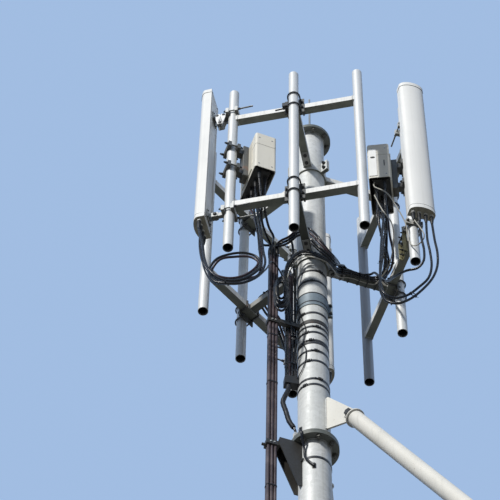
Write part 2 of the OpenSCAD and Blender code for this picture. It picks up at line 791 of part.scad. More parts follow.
// tube swept along a route as one polyhedron
module cable(route) {
    p = smooth(route);
    n = cable_sides;
    last = (len(p) - 1) * n;
    side = sides(p, 0, cross(heading(p, 0), [1, 0.3, 0.2]));
    points = [for (i = [0 : len(p) - 1], k = [0 : n - 1])
        p[i] + cable_d / 2 * (cos(k * 360 / n) * side[i]
            + sin(k * 360 / n) * cross(heading(p, i), side[i]))];
    walls = [for (i = [0 : n : last - n], k = [0 : n - 1])
        each [[i + k, i + n + (k + 1) % n, i + (k + 1) % n],
            [i + k, i + n + k, i + n + (k + 1) % n]]];
    ends = [for (k = [1 : n - 2])
        each [[0, k, k + 1], [last, last + k + 1, last + k]]];
    polyhedron(points = points, faces = concat(walls, ends));
}

module at_run() {
    rotate([0, 0, run_yaw]) children();
}

module mast_base_plate() {
    color([0.80, 0.81, 0.80]) {
        difference() {
            cylinder(d = base_od, h = base_t);
            translate([0, 0, -1]) cylinder(d = mast_od - 2 * mast_wall, h = base_t + 2);
            for (i = [0 : 7])
                rotate([0, 0, i * 45 + 22.5]) translate([anchor_pcd / 2, 0, -1])
                    cylinder(d = anchor_hole_d, h = base_t + 2);
        }
        for (i = [0 : 7])
            difference() {
                rotate([0, 0, i * 45]) rotate([90, 0, 0]) translate([0, 0, -6])
                    linear_extrude(height = 12)
                        polygon([[mast_r - 1, base_t - 2], [mast_r + rib_w, base_t - 2],
                            [mast_r + rib_w, base_t + 30], [mast_r + 15, base_t + rib_h],
                            [mast_r - 1, base_t + rib_h]]);
                translate([0, 0, base_t]) cylinder(d = mast_od, h = rib_h + 1);
            }
    }
}

module mast_base_section() {
    color([0.80, 0.81, 0.80]) {
        translate([0, 0, base_t]) tube(mast_od, mast_wall, joint_1 - base_t);
        translate([0, 0, joint_1 - flange_t]) flange();
    }
}

module mast_lower_section() {
    color([0.80, 0.81, 0.80]) mast_section(joint_1, joint_2);
}

module mast_middle_section() {
    color([0.80, 0.81, 0.80]) mast_section(joint_2, joint_3);
}

module mast_top_section() {
    color([0.80, 0.81, 0.80]) {
        mast_section(joint_3, mast_top);
        rotate([0, 0, lug_yaw]) translate([mast_r - 4, -14, lug_z]) cube([44, 28, 40]);
    }
}

module mast_cap() {
    color([0.72, 0.73, 0.73]) translate([0, 0, mast_top])
        difference() {
            cylinder(d = flange_od, h = 12);
            for (i = [0 : flange_bolts - 1])
                rotate([0, 0, (i + 0.5) * 360 / flange_bolts])
                    translate([flange_pcd / 2, 0, -1]) cylinder(d = flange_hole_d, h = 14);
        }
}

module lightning_rod() {
    color([0.62, 0.64, 0.66]) translate([0, 0, mast_top + 12]) {
        cylinder(d = rod_d * 3, h = 40);
        cylinder(d = rod_d, h = rod_len - rod_d / 2);
        translate([0, 0, rod_len - rod_d / 2]) sphere(d = rod_d);
    }
}

module mast_straps() {
    color([0.20, 0.20, 0.20]) {
        for (up = strap_ups)
            translate([0, 0, joint_3 + up]) tube(mast_od + 2 * strap_t, strap_t, strap_h);
        difference() {
            translate([0, 0, joint_3 + low_strap_up])
                tube(mast_od + 2 * strap_t, strap_t, strap_h);
            at_run() translate([0, -knee_gap, joint_3 + low_strap_up - 1])
                cube([mast_od, 2 * knee_gap, strap_h + 2]);
        }
    }
}

module mast_sleeve() {
    color([0.55, 0.60, 0.66]) translate([0, 0, joint_3 + sleeve_up]) sleeve();
}

module right_strut_gusset() {
    color([0.88, 0.87, 0.83]) rotate([0, 0, -30]) strut_gusset();
}

module back_strut_gusset() {
    color([0.88, 0.87, 0.83]) rotate([0, 0, 90]) strut_gusset();
}

module right_strut() {
    color([0.88, 0.87, 0.83]) rotate([0, 0, -30]) strut();
}

module back_strut() {
    color([0.88, 0.87, 0.83]) rotate([0, 0, 90]) strut();
}

module right_strut_foot() {
    color([0.72, 0.73, 0.73]) rotate([0, 0, -30]) strut_foot();
}

module back_strut_foot() {
    color([0.72, 0.73, 0.73]) rotate([0, 0, 90]) strut_foot();
}

module upper_collar() {
    color([0.80, 0.81, 0.80]) collar(high_rail_z);
}

module lower_collar() {
    color([0.80, 0.81, 0.80]) collar(low_rail_z);
}

module upper_arms() {
    color([0.74, 0.75, 0.74]) arms(high_rail_z);
}

module lower_arms() {
    color([0.74, 0.75, 0.74]) arms(low_rail_z);
}

module front_rails() {
    color([0.84, 0.85, 0.84]) rotate([0, 0, front_yaw]) rail_pair();
}

module right_rails() {
    color([0.84, 0.85, 0.84]) rotate([0, 0, right_yaw]) rail_pair();
}

module left_rails() {
    color([0.84, 0.85, 0.84]) rotate([0, 0, left_yaw]) rail_pair();
}

module front_left_pipe() {
    color([0.83, 0.85, 0.86]) rotate([0, 0, front_yaw]) mount_pipe(-pipe_half_span, frame_r, 0);
}

module front_middle_pipe() {
    color([0.83, 0.85, 0.86]) rotate([0, 0, front_yaw]) mount_pipe(0, middle_r, 0);
}

module front_right_pipe() {
    color([0.83, 0.85, 0.86]) rotate([0, 0, front_yaw]) mount_pipe(pipe_half_span, frame_r, 0);
}

module right_near_pipe() {
    color([0.83, 0.85, 0.86]) rotate([0, 0, right_yaw])
        mount_pipe(-pipe_half_span, frame_r, near_pipe_up);
}

module right_middle_pipe() {
    color([0.83, 0.85, 0.86]) rotate([0, 0, right_yaw]) mount_pipe(0, middle_r, 0);
}

module right_far_pipe() {
    color([0.83, 0.85, 0.86]) rotate([0, 0, right_yaw]) mount_pipe(pipe_half_span, frame_r, 0);
}

module left_far_pipe() {
    color([0.83, 0.85, 0.86]) rotate([0, 0, left_yaw]) mount_pipe(-pipe_half_span, frame_r, 0);
}

module left_middle_pipe() {
    color([0.83, 0.85, 0.86]) rotate([0, 0, left_yaw]) mount_pipe(0, middle_r, 0);
}

module left_near_pipe() {
    color([0.83, 0.85, 0.86]) rotate([0, 0, left_yaw]) mount_pipe(pipe_half_span, frame_r, 0);
}

module front_pipe_saddles() {
    color([0.35, 0.35, 0.34]) rotate([0, 0, front_yaw]) pipe_saddles();
}

module right_pipe_saddles() {
    color([0.35, 0.35, 0.34]) rotate([0, 0, right_yaw]) pipe_saddles();
}

module left_pipe_saddles() {
    color([0.35, 0.35, 0.34]) rotate([0, 0, left_yaw]) pipe_saddles();
}

module left_antenna() {
    color([0.93, 0.94, 0.93]) rotate([0, 0, front_yaw]) antenna_on_pipe(ant_pan, ant_gap, 0);
}

module right_antenna() {
    color([0.93, 0.94, 0.93]) rotate([0, 0, right_yaw])
        antenna_on_pipe(ant_pan, ant_gap, near_pipe_up);
}

module back_antenna() {
    color([0.93, 0.94, 0.93]) rotate([0, 0, left_yaw])
        antenna_on_pipe(back_ant_pan, back_ant_gap, 0);
}

module left_antenna_brackets() {
    color([0.78, 0.79, 0.78]) rotate([0, 0, front_yaw]) antenna_brackets(ant_pan, ant_gap, 0);
}

module right_antenna_brackets() {
    color([0.78, 0.79, 0.78]) rotate([0, 0, right_yaw])
        antenna_brackets(ant_pan, ant_gap, near_pipe_up);
}

module back_antenna_brackets() {
    color([0.78, 0.79, 0.78]) rotate([0, 0, left_yaw])
        antenna_brackets(back_ant_pan, back_ant_gap, 0);
}

module left_radio() {
    color([0.22, 0.22, 0.21]) at_left_radio() radio();
}

module right_radio() {
    color([0.22, 0.22, 0.21]) at_right_radio() radio();
}

module left_radio_cover() {
    color([0.86, 0.84, 0.79]) at_left_radio() radio_cover();
}

module right_radio_cover() {
    color([0.86, 0.84, 0.79]) at_right_radio() radio_cover();
}

module left_radio_bracket() {
    color([0.30, 0.31, 0.30]) at_left_radio() radio_bracket();
}

module right_radio_bracket() {
    color([0.30, 0.31, 0.30]) at_right_radio() radio_bracket();
}

module feeder_brackets() {
    color([0.70, 0.71, 0.70]) at_run() {
        for (z = [run_foot + first_clamp_up : bracket_step : joint_1 - knee_h - band_h])
            feeder_bracket(z);
        for (joint = [joint_1, joint_2, joint_3])
            knee_bracket(joint - flange_t);
        for (joint = [joint_1, joint_2], i = [1, 2])
            feeder_bracket(joint + i * bracket_step);
        feeder_bracket(joint_3 + bracket_step);
    }
}

module feeder_run() {
    color([0.13, 0.13, 0.14]) at_run() translate([0, 0, run_foot]) feeders(run_top - run_foot);
}

module cable_box() {
    color([0.32, 0.33, 0.31]) rotate([0, 0, box_yaw]) translate([0, 0, box_z])
        difference() {
            translate([mast_r - 15, -box_w / 2, 0]) cube([110, box_w, box_h]);
            translate([0, 0, -1]) cylinder(d = mast_od, h = box_h + 2);
        }
}

module left_antenna_cables() {
    color([0.10, 0.10, 0.11]) {
        cable(lead(left_port(3), left_a_route, left_radio_port(1)));
        cable(lead(left_port(2), left_b_route, left_radio_port(2)));
        cable(lead(left_port(1), left_c_route, left_radio_port(3)));
    }
}

module right_antenna_cables() {
    color([0.10, 0.10, 0.11]) {
        cable(lead(right_port(3), right_a_route, right_radio_port(1)));
        cable(lead(right_port(2), right_b_route, right_radio_port(2)));
        cable(mast_lead(right_port(1), right_c_route, 206, 19));
    }
}

module back_antenna_cables() {
    color([0.10, 0.10, 0.11]) {
        cable(mast_lead(back_port(2), back_0_route, 199, 80));
        cable(mast_lead(back_port(1), back_1_route, 205, 58));
        cable(mast_lead(back_port(0), back_2_route, 200, 38));
    }
}

module radio_cables() {
    color([0.10, 0.10, 0.11]) {
        cable(feeder_lead(right_radio_port(4), arm_a_route, 70, feeder_top(0, 1)));
        cable(feeder_lead(right_radio_port(0), arm_b_route, 100, feeder_top(0, -1)));
        cable(feeder_lead(right_radio_port(5), arm_c_route, 50, feeder_top(1, 1)));
        cable(feeder_lead(left_radio_port(0), tail_a_route, 60, feeder_top(2, 1)));
        cable(feeder_lead(left_radio_port(4), tail_b_route, 140, feeder_top(1, -1)));
        cable(feeder_lead(left_radio_port(5), tail_c_route, 90, feeder_top(2, -1)));
    }
}

module earth_cable() {
    color([0.10, 0.10, 0.11])
        cable(concat([by_mast(206, 68, box_z)], [for (q = earth_route) q + [0, 0, joint_3]],
            [by_mast(lug_yaw, 29, lug_z + 40)]));
}

mast_base_plate();
mast_base_section();
mast_lower_section();
mast_middle_section();
mast_top_section();
mast_cap();
lightning_rod();
mast_straps();
mast_sleeve();
right_strut_gusset();
back_strut_gusset();
right_strut();
back_strut();
right_strut_foot();
back_strut_foot();
upper_collar();
lower_collar();
upper_arms();
lower_arms();
front_rails();
right_rails();
left_rails();
front_left_pipe();
front_middle_pipe();
front_right_pipe();
right_near_pipe();
right_middle_pipe();
right_far_pipe();
left_near_pipe();
left_middle_pipe();
left_far_pipe();
front_pipe_saddles();
right_pipe_saddles();
left_pipe_saddles();
left_antenna();
right_antenna();
back_antenna();
left_antenna_brackets();
right_antenna_brackets();
back_antenna_brackets();
left_radio();
right_radio();
left_radio_cover();
right_radio_cover();
left_radio_bracket();
right_radio_bracket();
feeder_brackets();
feeder_run();
cable_box();
left_antenna_cables();
right_antenna_cables();
back_antenna_cables();
radio_cables();
earth_cable();
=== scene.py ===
"""Looks of the stayed cell tower: finishes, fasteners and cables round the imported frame."""
import json
import math
from functools import partial
from itertools import product

import bmesh
import bpy
from mathutils import Matrix, Vector


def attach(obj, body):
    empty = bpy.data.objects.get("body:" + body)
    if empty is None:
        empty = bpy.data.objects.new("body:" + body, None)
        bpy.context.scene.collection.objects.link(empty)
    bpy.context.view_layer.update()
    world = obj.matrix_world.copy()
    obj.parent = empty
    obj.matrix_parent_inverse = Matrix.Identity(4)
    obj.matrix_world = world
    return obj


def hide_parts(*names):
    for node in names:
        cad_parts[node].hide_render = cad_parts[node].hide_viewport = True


# the view of the photograph, in the row's frame
VIEW_PLACE = (1.5518, -8.8158, 1.6026)
VIEW_HEADING = 102.919
VIEW_RISE = 57.030
VIEW_ROLL = 1.594
FRAME_PIXELS = 500
FOCAL_PIXELS = 2204.3
SENSOR_MM = 36.0
FAR_CLIP = 200.0

STAGE_REACH = 60.0
STAGE_Z = -0.002
SKY_LIGHT = (0.76, 0.85, 1.0)
BACKDROP = (0.36, 0.51, 0.76)
FLOOR = (0.72, 0.74, 0.76)
FLOOR_BOUNCE = (0.15, 0.15, 0.15)
# painted shade deep inside the pipes' open ends
BORE_SHADE = (0.012, 0.012, 0.012)
RUST = (0.23, 0.11, 0.055)
CHIPPED = (0.20, 0.11, 0.06)
FLANGE_SOIL = (0.15, 0.16, 0.14)

# the frame's sizes that the pieces fit, in metres and degrees
MAST_R = 0.10955
JOINTS = (5.0, 9.0, 13.0)
MAST_TOP = 17.0
FLANGE_T = 0.020
CAP_T = 0.012
FLANGE_BOLTS = 8
FLANGE_BOLT_R = 0.13705
BASE_T = 0.030
RIB_H = 0.220
RIB_HALF = 0.006
COLLAR_R = 0.12155
COLLAR_H = 0.130
EAR_TURNS = (-30, 90, 210)
EAR_BOLT_R = 0.1546
EAR_GRIP = 0.030
SLEEVE_LOW = 14.530
SLEEVE_H = 0.153
SLEEVE_TURN = 13
SLEEVE_T = 0.005
SLEEVE_BOLT_R = 0.13055
SLEEVE_GRIP = 0.022
STRAPS = {
    # height of a strap and the turn of its buckle
    13.570: -112, 13.633: -58, 13.840: -96, 13.957: -70, 14.052: -124, 14.080: -88,
    14.179: -104, 14.246: -64, 14.418: -118, 14.824: -80, 14.955: -50, 12.781: -128,
}
STRAP_H = 0.020
STRUT_TURNS = (-30, 90)
STRUT_LEAN = 27.5
STRUT_PIN = (0.315, 13.110)
FOOT_PIN_Z = 0.140
PIN_GRIP = 0.038
GUSSET_T = 0.014
GUSSET_WELD = (0.020, 0.350)
FACES = {"front": 0, "right": 120, "left": 240}
FRAME_R = 0.615
PIPE_SPAN = 0.490
PIPE_R = 0.03805
PIPE_FOOT = 14.650
MIDDLE_R = 0.69105
RAIL_HEIGHTS = (15.190, 16.450)
RAIL_HALF = 0.030
ARM_TURNS = (-90, 30, 150)
PLATE_T = 0.008
NEAR_PIPE_UP = 0.200
ANT_UP = 0.335
ANT_H = 1.880
ANT_W = 0.200
ANT_D = 0.100
CAP_H = 0.045
CLAMP_OUT = 0.04805
CLAMP_H = 0.060
STUD_Y = 0.05205
LOWER_CLAMP = 0.090
UPPER_CLAMP = 1.520
ELBOW_DROP = 0.110
ANTENNAS = {
    # yaw of the face, pan and raise
    "left": (0, -2.5, 0.0),
    "right": (120, -2.5, NEAR_PIPE_UP),
    "back": (240, -27, 0.0),
}
# from the surface of the pipe to the back of its antenna
ANTENNA_GAPS = {"left": 0.120, "right": 0.120, "back": 0.190}
RADIO_BACK = 0.130
RADIO_W = 0.335
RADIO_H = 0.484
RADIO_D = 0.166
RADIO_CLAMPS = (0.070, 0.354)
RADIOS = {
    # yaw of the face, yaw on the pipe, height above the pipes' foot
    "left": (0, 32, 0.960),
    "right": (120, 65, NEAR_PIPE_UP + 0.935),
}
RUN_TURN = 210
RUN_R = 0.298
RUN_PITCH = 0.024
RUN_FOOT = 0.450
RUN_TOP = 15.230
CLAMP_HEIGHTS = (0.750, 2.050, 3.350, 6.300, 7.600, 10.300, 11.600, 14.300)
KNEE_HEIGHTS = [joint - FLANGE_T for joint in JOINTS]
BOX_LOW = 13.660
BOX_H = 0.080
LUG_TURN = 216
LUG_TOP = 13.100
CABLE_R = 0.009
FEEDER_R = 0.0105
STRAIGHT = Vector((0, 0, 0.060))
PORT_IN = 0.045
PORT_ACROSS = (0.070, 0.025, -0.025, -0.070)
PORT_LEN = 0.040
RADIO_PORTS = ((0.050, -0.120), (0.050, -0.040), (0.050, 0.040), (0.050, 0.120),
               (0.110, -0.080), (0.110, 0.080))
RADIO_PORT_DROP = 0.020
CABLE_NODES = {
    "left_antenna_cables": ("left_a", "left_b", "left_c"),
    "right_antenna_cables": ("right_a", "right_b", "right_c"),
    "back_antenna_cables": ("back_0", "back_1", "back_2"),
    "radio_cables": ("arm_a", "arm_b", "arm_c", "tail_a", "tail_b", "tail_c"),
    "earth_cable": ("earth",),
}

# sizes of the pieces that are made here, in metres
M8 = 0.008
M12 = 0.012
M16 = 0.016
M20 = 0.020
PIN_D = 0.032
HOOK_GAP = 0.008
PIPE_BOLT_UP = 0.080
RAIL_BOLT_OUT = 0.060
BEAD = 0.006
BASE_BEAD = 0.007
FINE_BEAD = 0.005
ARM_BOLTS = (0.162, 0.228)
# half thickness, half width and overhang of a link plate, and its pins' distance in
LINK_HALF = (0.0035, 0.024)
LINK_PAST = 0.018
LINK_IN = 0.035
# distance of a link pin's heads from the middle, and the pin's size
LINK_PIN = (0.0255, 0.014)
GLANDS = ((0.126, 0.125), (0.126, 0.030), (0.080, 0.000), (0.080, -0.100))
GLAND_DROP = 0.004
ARM_TURN = 30
ARM_UP = 0.540
ARM_TIES = (0.165, 0.230, 0.290, 0.365, 0.430, 0.500)
THIN_CABLES = {"power": 0.007, "pale_a": 0.0045, "pale_b": 0.0045, "spare_left": 0.006}
# sheaths other than black; the pale one is a painted highlight, the sky's sheen on black cables
SHEATHS = {
    "back_1": "cable_brown", "back_2": "cable_brown", "arm_b": "cable_brown",
    "left_c": "cable_brown", "pale_a": "cable_painted_sheen", "pale_b": "cable_painted_sheen",
}
BOND_R = 0.0085
WIRE_R = 0.0035
COILS = {
    # centre of a slack coil, height from the foot of the mount pipes
    "spare_a": (-0.198, -0.160, 0.010),
    "spare_b": (-0.188, -0.205, -0.100),
}
COIL_HALF = (0.053, 0.205)
COIL_STEPS = 38
COIL_FOOT = (-0.420, -0.650)
PATH_STEP = 0.022
TIE_REACH = 0.055
TIE_STEP = 0.55
TIE_W = 0.009
TIE_T = 0.0022

# cable ties and taped joints, each at a share of a lead's length
TIES = {
    "left_a": (0.55, 0.90), "left_b": (0.35,), "left_c": (0.75,), "right_a": (0.35, 0.82),
    "right_b": (0.60,), "right_c": (0.30,), "arm_a": (0.30, 0.55, 0.80), "arm_b": (0.42,),
    "arm_c": (0.68,), "back_1": (0.30, 0.42, 0.55, 0.75, 0.85, 0.94),
}
SLEEVES = {
    "spare_a": (0.62, 0.70, 0.80), "spare_b": (0.62, 0.70, 0.78), "back_0": (0.80,),
    "back_1": (0.80,), "back_2": (0.82,), "arm_a": (0.36,), "arm_b": (0.37,), "arm_c": (0.36,),
}

# points beside the mast: turn about its axis, radius and height
BOND = ((228, 0.1205, 13.120), (236, 0.135, 13.070), (248, 0.168, 13.032),
        (252, 0.182, 13.000), (252, 0.172, 12.955), (249, 0.135, 12.895), (248, 0.121, 12.830),
        (251, 0.121, 12.790), (262, 0.121, 12.740), (278, 0.1205, 12.690))
MAST_WIRE = ((196, 0.136, 14.840), (202, 0.121, 14.750), (212, 0.1185, 14.670),
             (224, 0.1185, 14.540), (240, 0.1185, 14.390), (256, 0.1185, 14.220),
             (249, 0.1190, 14.130), (246, 0.1190, 14.060), (256, 0.1185, 13.980),
             (252, 0.1185, 13.840), (234, 0.1190, 13.750), (216, 0.1240, 13.715),
             (209, 0.1330, 13.700))

# points of the cables in millimetres, heights from the foot of the mount pipes; those of
# the earth cable from the strut flange
ROUTES = {
    "left_a": [(-660, -670, 0), (-640, -670, -180), (-600, -670, -340), (-520, -650, -440),
        (-420, -630, -460), (-330, -610, -400), (-260, -590, -280), (-280, -590, -150),
        (-360, -610, -100), (-460, -630, -110), (-560, -650, -180), (-612, -640, -300),
        (-570, -640, -440), (-470, -640, -490), (-380, -620, -485), (-280, -585, -380),
        (-232, -560, -200), (-252, -545, 20), (-272, -545, 290), (-300, -540, 550)],
    "left_b": [(-690, -630, 40), (-660, -630, -160), (-592, -614, -325), (-520, -610, -390),
        (-410, -590, -390), (-330, -570, -320), (-270, -540, -170), (-280, -535, 50),
        (-300, -510, 320), (-330, -500, 590)],
    "left_c": [(-680, -590, 40), (-650, -600, -140), (-600, -600, -270), (-500, -580, -330),
        (-400, -560, -310), (-320, -540, -220), (-290, -520, -100), (-350, -530, -30),
        (-450, -550, -30), (-550, -580, -80), (-612, -562, -180), (-575, -572, -305),
        (-470, -560, -360), (-370, -560, -350), (-290, -490, -210), (-275, -475, 10),
        (-300, -465, 320), (-340, -460, 600)],
    "right_a": [(940, -260, 220), (950, -260, 50), (940, -250, -100), (900, -250, -240),
        (830, -260, -370), (740, -270, -480), (650, -280, -530), (570, -280, -480),
        (530, -270, -330), (530, -240, -100), (550, -210, 160), (560, -160, 440),
        (580, -130, 680)],
    "right_b": [(890, -280, 210), (900, -270, 50), (900, -260, -110), (870, -260, -250),
        (800, -265, -350), (720, -275, -440), (630, -300, -490), (560, -320, -440),
        (540, -320, -320), (540, -295, -100), (550, -275, 150), (560, -235, 420)],
    "right_c": [(850, -300, 220), (860, -290, 70), (850, -290, -70), (800, -270, -120),
        (720, -250, -100), (630, -160, -10), (560, -30, 140), (500, 120, 410), (440, 186, 600),
        (400, 215, 630), (300, 173, 604), (210, 120, 636), (180, 60, 658), (175, -65, 525),
        (140, -135, 525), (90, -175, 624), (30, -175, 757), (-20, -190, 790), (-70, -190, 800),
        (-125, -145, 740), (-120, -122, 670), (-118, -112, 560), (-118, -103, 440)],
    "back_0": [(-110, 890, 80), (-210, 780, 40), (-285, 625, 230), (-325, 560, 410),
        (-365, 485, 560), (-425, 390, 600), (-450, 255, 590), (-393, 199, 580), (-315, 154, 580),
        (-237, 109, 582), (-222, 68, 585), (-215, 0, 540), (-205, -40, 440)],
    "back_1": [(-80, 845, 90), (-190, 745, 30), (-268, 595, 230), (-305, 535, 410),
        (-345, 460, 560), (-400, 380, 600), (-425, 265, 590), (-381, 220, 580), (-303, 175, 580),
        (-225, 130, 582), (-200, 70, 587), (-190, 0, 540), (-180, -40, 440)],
    "back_2": [(-50, 800, 100), (-170, 705, 20), (-250, 565, 230), (-285, 510, 410),
        (-325, 440, 560), (-375, 370, 600), (-395, 275, 590), (-369, 241, 580), (-291, 196, 580),
        (-213, 151, 582), (-175, 75, 590), (-165, 15, 540), (-155, -25, 440)],
    "arm_a": [(570, -40, 830), (560, 20, 640), (560, 95, 535), (478, 258, 630), (407, 235, 588),
        (303, 175, 580), (214, 125, 581), (203, 76, 593), (175, -65, 460), (140, -135, 460),
        (90, -165, 515), (30, -165, 640), (-20, -190, 715), (-70, -190, 725), (-140, -170, 680),
        (-200, -170, 650)],
    "arm_b": [(590, 20, 820), (600, 80, 670), (572, 140, 565), (490, 300, 680), (393, 260, 593),
        (291, 196, 582), (206, 146, 592), (186, 62, 614), (175, -65, 493), (140, -135, 493),
        (90, -170, 574), (30, -170, 704), (-20, -190, 755), (-70, -190, 765), (-140, -170, 720),
        (-205, -165, 690)],
    "arm_c": [(540, -180, 700), (550, -100, 530), (550, 0, 440), (495, 190, 580), (420, 215, 584),
        (315, 154, 580), (238, 98, 582), (229, 68, 580), (175, -65, 420), (140, -135, 420),
        (90, -165, 470), (30, -165, 595), (-20, -190, 675), (-70, -190, 685), (-140, -170, 640),
        (-210, -175, 605)],
    "tail_a": [(-270, -540, 640), (-285, -470, 590), (-290, -380, 590), (-286, -270, 620)],
    "tail_b": [(-250, -520, 620), (-250, -450, 570), (-248, -360, 580), (-240, -250, 640)],
    "tail_c": [(-300, -460, 650), (-315, -390, 600), (-325, -300, 600), (-332, -188, 645)],
    "spare_a": [(600, -220, 840), (585, -120, 660), (550, 30, 540), (500, 160, 535),
        (428, 199, 556), (281, 114, 554), (196, 64, 535), (172, -30, 440), (132, -135, 400),
        (60, -178, 430), (-20, -188, 470), (-90, -185, 440), (-150, -180, 330)],
    "spare_b": [(570, -200, 860), (570, -80, 620), (540, 60, 510), (490, 170, 510),
        (428, 199, 533), (281, 114, 532), (200, 67, 510), (172, -35, 415), (135, -140, 375),
        (60, -185, 405), (-20, -195, 445), (-90, -205, 390), (-140, -215, 250)],
    "power": [(530, -200, 800), (545, -60, 560), (530, 80, 470), (480, 180, 490), (428, 200, 511),
        (281, 115, 510), (200, 68, 487), (172, -40, 392), (138, -140, 352), (65, -185, 380),
        (-20, -190, 422), (-100, -170, 400), (-160, -135, 300), (-185, -100, 100)],
    "pale_a": [(530, -260, 950), (575, -260, 750), (640, -230, 570), (630, -130, 450),
        (570, 20, 420), (490, 150, 465), (417, 221, 503), (270, 136, 503), (190, 90, 475),
        (170, -45, 370), (138, -145, 330), (65, -180, 360), (-20, -180, 400), (-100, -155, 370),
        (-170, -110, 220)],
    "pale_b": [(620, -270, 950), (680, -260, 770), (735, -200, 600), (742, -165, 450),
        (770, -180, 320), (830, -250, 220), (872, -300, 250)],
    "spare_left": [(-675, -570, -100), (-600, -590, -360), (-500, -600, -435), (-390, -580, -430),
        (-300, -540, -330), (-250, -460, -120), (-250, -360, 80), (-255, -260, 280),
        (-235, -190, 345), (-195, -130, 270)],
    "earth": [(-160, -78, 600), (-180, -108, 480), (-190, -110, 420), (-170, -112, 320),
        (-150, -100, 220), (-122, -86, 160), (-112, -81, 130)],
}

# a place that changes nothing, and a half turn that makes z point down
HERE = Matrix.Identity(4)
OVER = Matrix.Rotation(math.pi, 4, "X")
SIDES = (-1, 1)


def turn_z(degrees):
    return Matrix.Rotation(math.radians(degrees), 4, "Z")


def move(x, y, z):
    return Matrix.Translation((x, y, z))


def facing(origin, along):
    """A place whose z axis points along a direction."""
    z = Vector(along).normalized()
    x = Vector((0, 0, 1)).cross(z)
    if x.length < 1e-6:
        x = Vector((1, 0, 0))
    x.normalize()
    place = Matrix((x, z.cross(x), z)).transposed().to_4x4()
    place.translation = origin
    return place


def direction(heading, rise):
    heading = math.radians(heading)
    rise = math.radians(rise)
    return Vector((math.cos(rise) * math.cos(heading),
                   math.cos(rise) * math.sin(heading),
                   math.sin(rise)))


def turns(count):
    """Equal steps of one full turn."""
    return [2 * math.pi * k / count for k in range(count)]


def circle(radius, z, count=64):
    return [(radius * math.cos(a), radius * math.sin(a), z) for a in turns(count)]


def arc(centre, radius, start, end, count):
    """Points in the x and y plane from one angle to another, in degrees."""
    steps = [math.radians(start + (end - start) * i / (count - 1)) for i in range(count)]
    return [(centre[0] + radius * math.cos(a), centre[1] + radius * math.sin(a))
            for a in steps]


def square(half):
    return [(-half, -half), (half, -half), (half, half), (-half, half)]


def add_object(name, data):
    made = bpy.data.objects.new(name, data)
    bpy.context.scene.collection.objects.link(made)
    return made


def make_camera():
    ahead = direction(VIEW_HEADING, VIEW_RISE)
    side = direction(VIEW_HEADING - 90, 0)
    up = side.cross(ahead)
    roll = math.radians(VIEW_ROLL)
    axis_x = math.cos(roll) * side + math.sin(roll) * up
    axis_y = math.cos(roll) * up - math.sin(roll) * side
    data = bpy.data.cameras.new("view")
    data.sensor_width = SENSOR_MM
    data.lens = FOCAL_PIXELS / FRAME_PIXELS * SENSOR_MM
    data.clip_end = FAR_CLIP
    camera = add_object("view", data)
    turn = Matrix((axis_x, axis_y, -ahead)).transposed().to_4x4()
    camera.matrix_world = Matrix.Translation(VIEW_PLACE) @ turn
    bpy.context.scene.camera = camera


def sun(name, strength, colour, spread, heading, rise):
    data = bpy.data.lights.new(name, "SUN")
    data.energy = strength
    data.color = colour
    data.angle = math.radians(spread)
    towards = direction(heading, rise)
    add_object(name, data).rotation_euler = towards.to_track_quat("Z", "Y").to_euler()


def seen_directly(tree):
    """1 for rays from the camera or through gloss and glass, 0 for light on the object."""
    path = tree.nodes.new("ShaderNodeLightPath")
    total = path.outputs["Is Camera Ray"]
    for name in ("Is Glossy Ray", "Is Transmission Ray"):
        either = tree.nodes.new("ShaderNodeMath")
        either.operation = "MAXIMUM"
        tree.links.new(total, either.inputs[0])
        tree.links.new(path.outputs[name], either.inputs[1])
        total = either.outputs[0]
    return total


def show_and_light(tree, output, shown, light):
    """Shows one shader directly and lets the other one light the object."""
    mix = tree.nodes.new("ShaderNodeMixShader")
    tree.links.new(seen_directly(tree), mix.inputs["Fac"])
    tree.links.new(light.outputs[0], mix.inputs[1])
    tree.links.new(shown.outputs[0], mix.inputs[2])
    tree.links.new(mix.outputs["Shader"], tree.nodes[output].inputs["Surface"])


def make_light():
    sun("key", strength=3.3, colour=(1.0, 0.98, 0.94), spread=3.0, heading=248.0, rise=33.0)
    sun("side_fill", strength=0.09, colour=(0.85, 0.92, 1.0), spread=60.0, heading=-20.0,
        rise=25.0)
    world = bpy.data.worlds.new("studio")
    world.use_nodes = True
    tree = world.node_tree
    light = tree.nodes["Background"]
    light.inputs["Color"].default_value = (*SKY_LIGHT, 1.0)
    light.inputs["Strength"].default_value = 0.22
    shown = tree.nodes.new("ShaderNodeBackground")
    shown.inputs["Color"].default_value = (*BACKDROP, 1.0)
    show_and_light(tree, "World Output", shown, light)
    bpy.context.scene.world = world


def make_floor():
    s, z = STAGE_REACH, STAGE_Z
    mesh = bpy.data.meshes.new("floor")
    mesh.from_pydata([(x, y, z) for x, y in square(s)], [], [(0, 1, 2, 3)])
    floor = add_object("floor", mesh)
    material = bpy.data.materials.new("floor")
    material.use_nodes = True
    tree = material.node_tree
    shown = tree.nodes["Principled BSDF"]
    shown.inputs["Base Color"].default_value = (*FLOOR, 1.0)
    shown.inputs["Roughness"].default_value = 0.9
    bounce = tree.nodes.new("ShaderNodeBsdfDiffuse")
    bounce.inputs["Color"].default_value = (*FLOOR_BOUNCE, 1.0)
    show_and_light(tree, "Material Output", shown, bounce)
    mesh.materials.append(material)


def rgba(value):
    return (*value, 1.0) if isinstance(value, tuple) else value


def darker(colour, share):
    return tuple(c * share for c in colour)


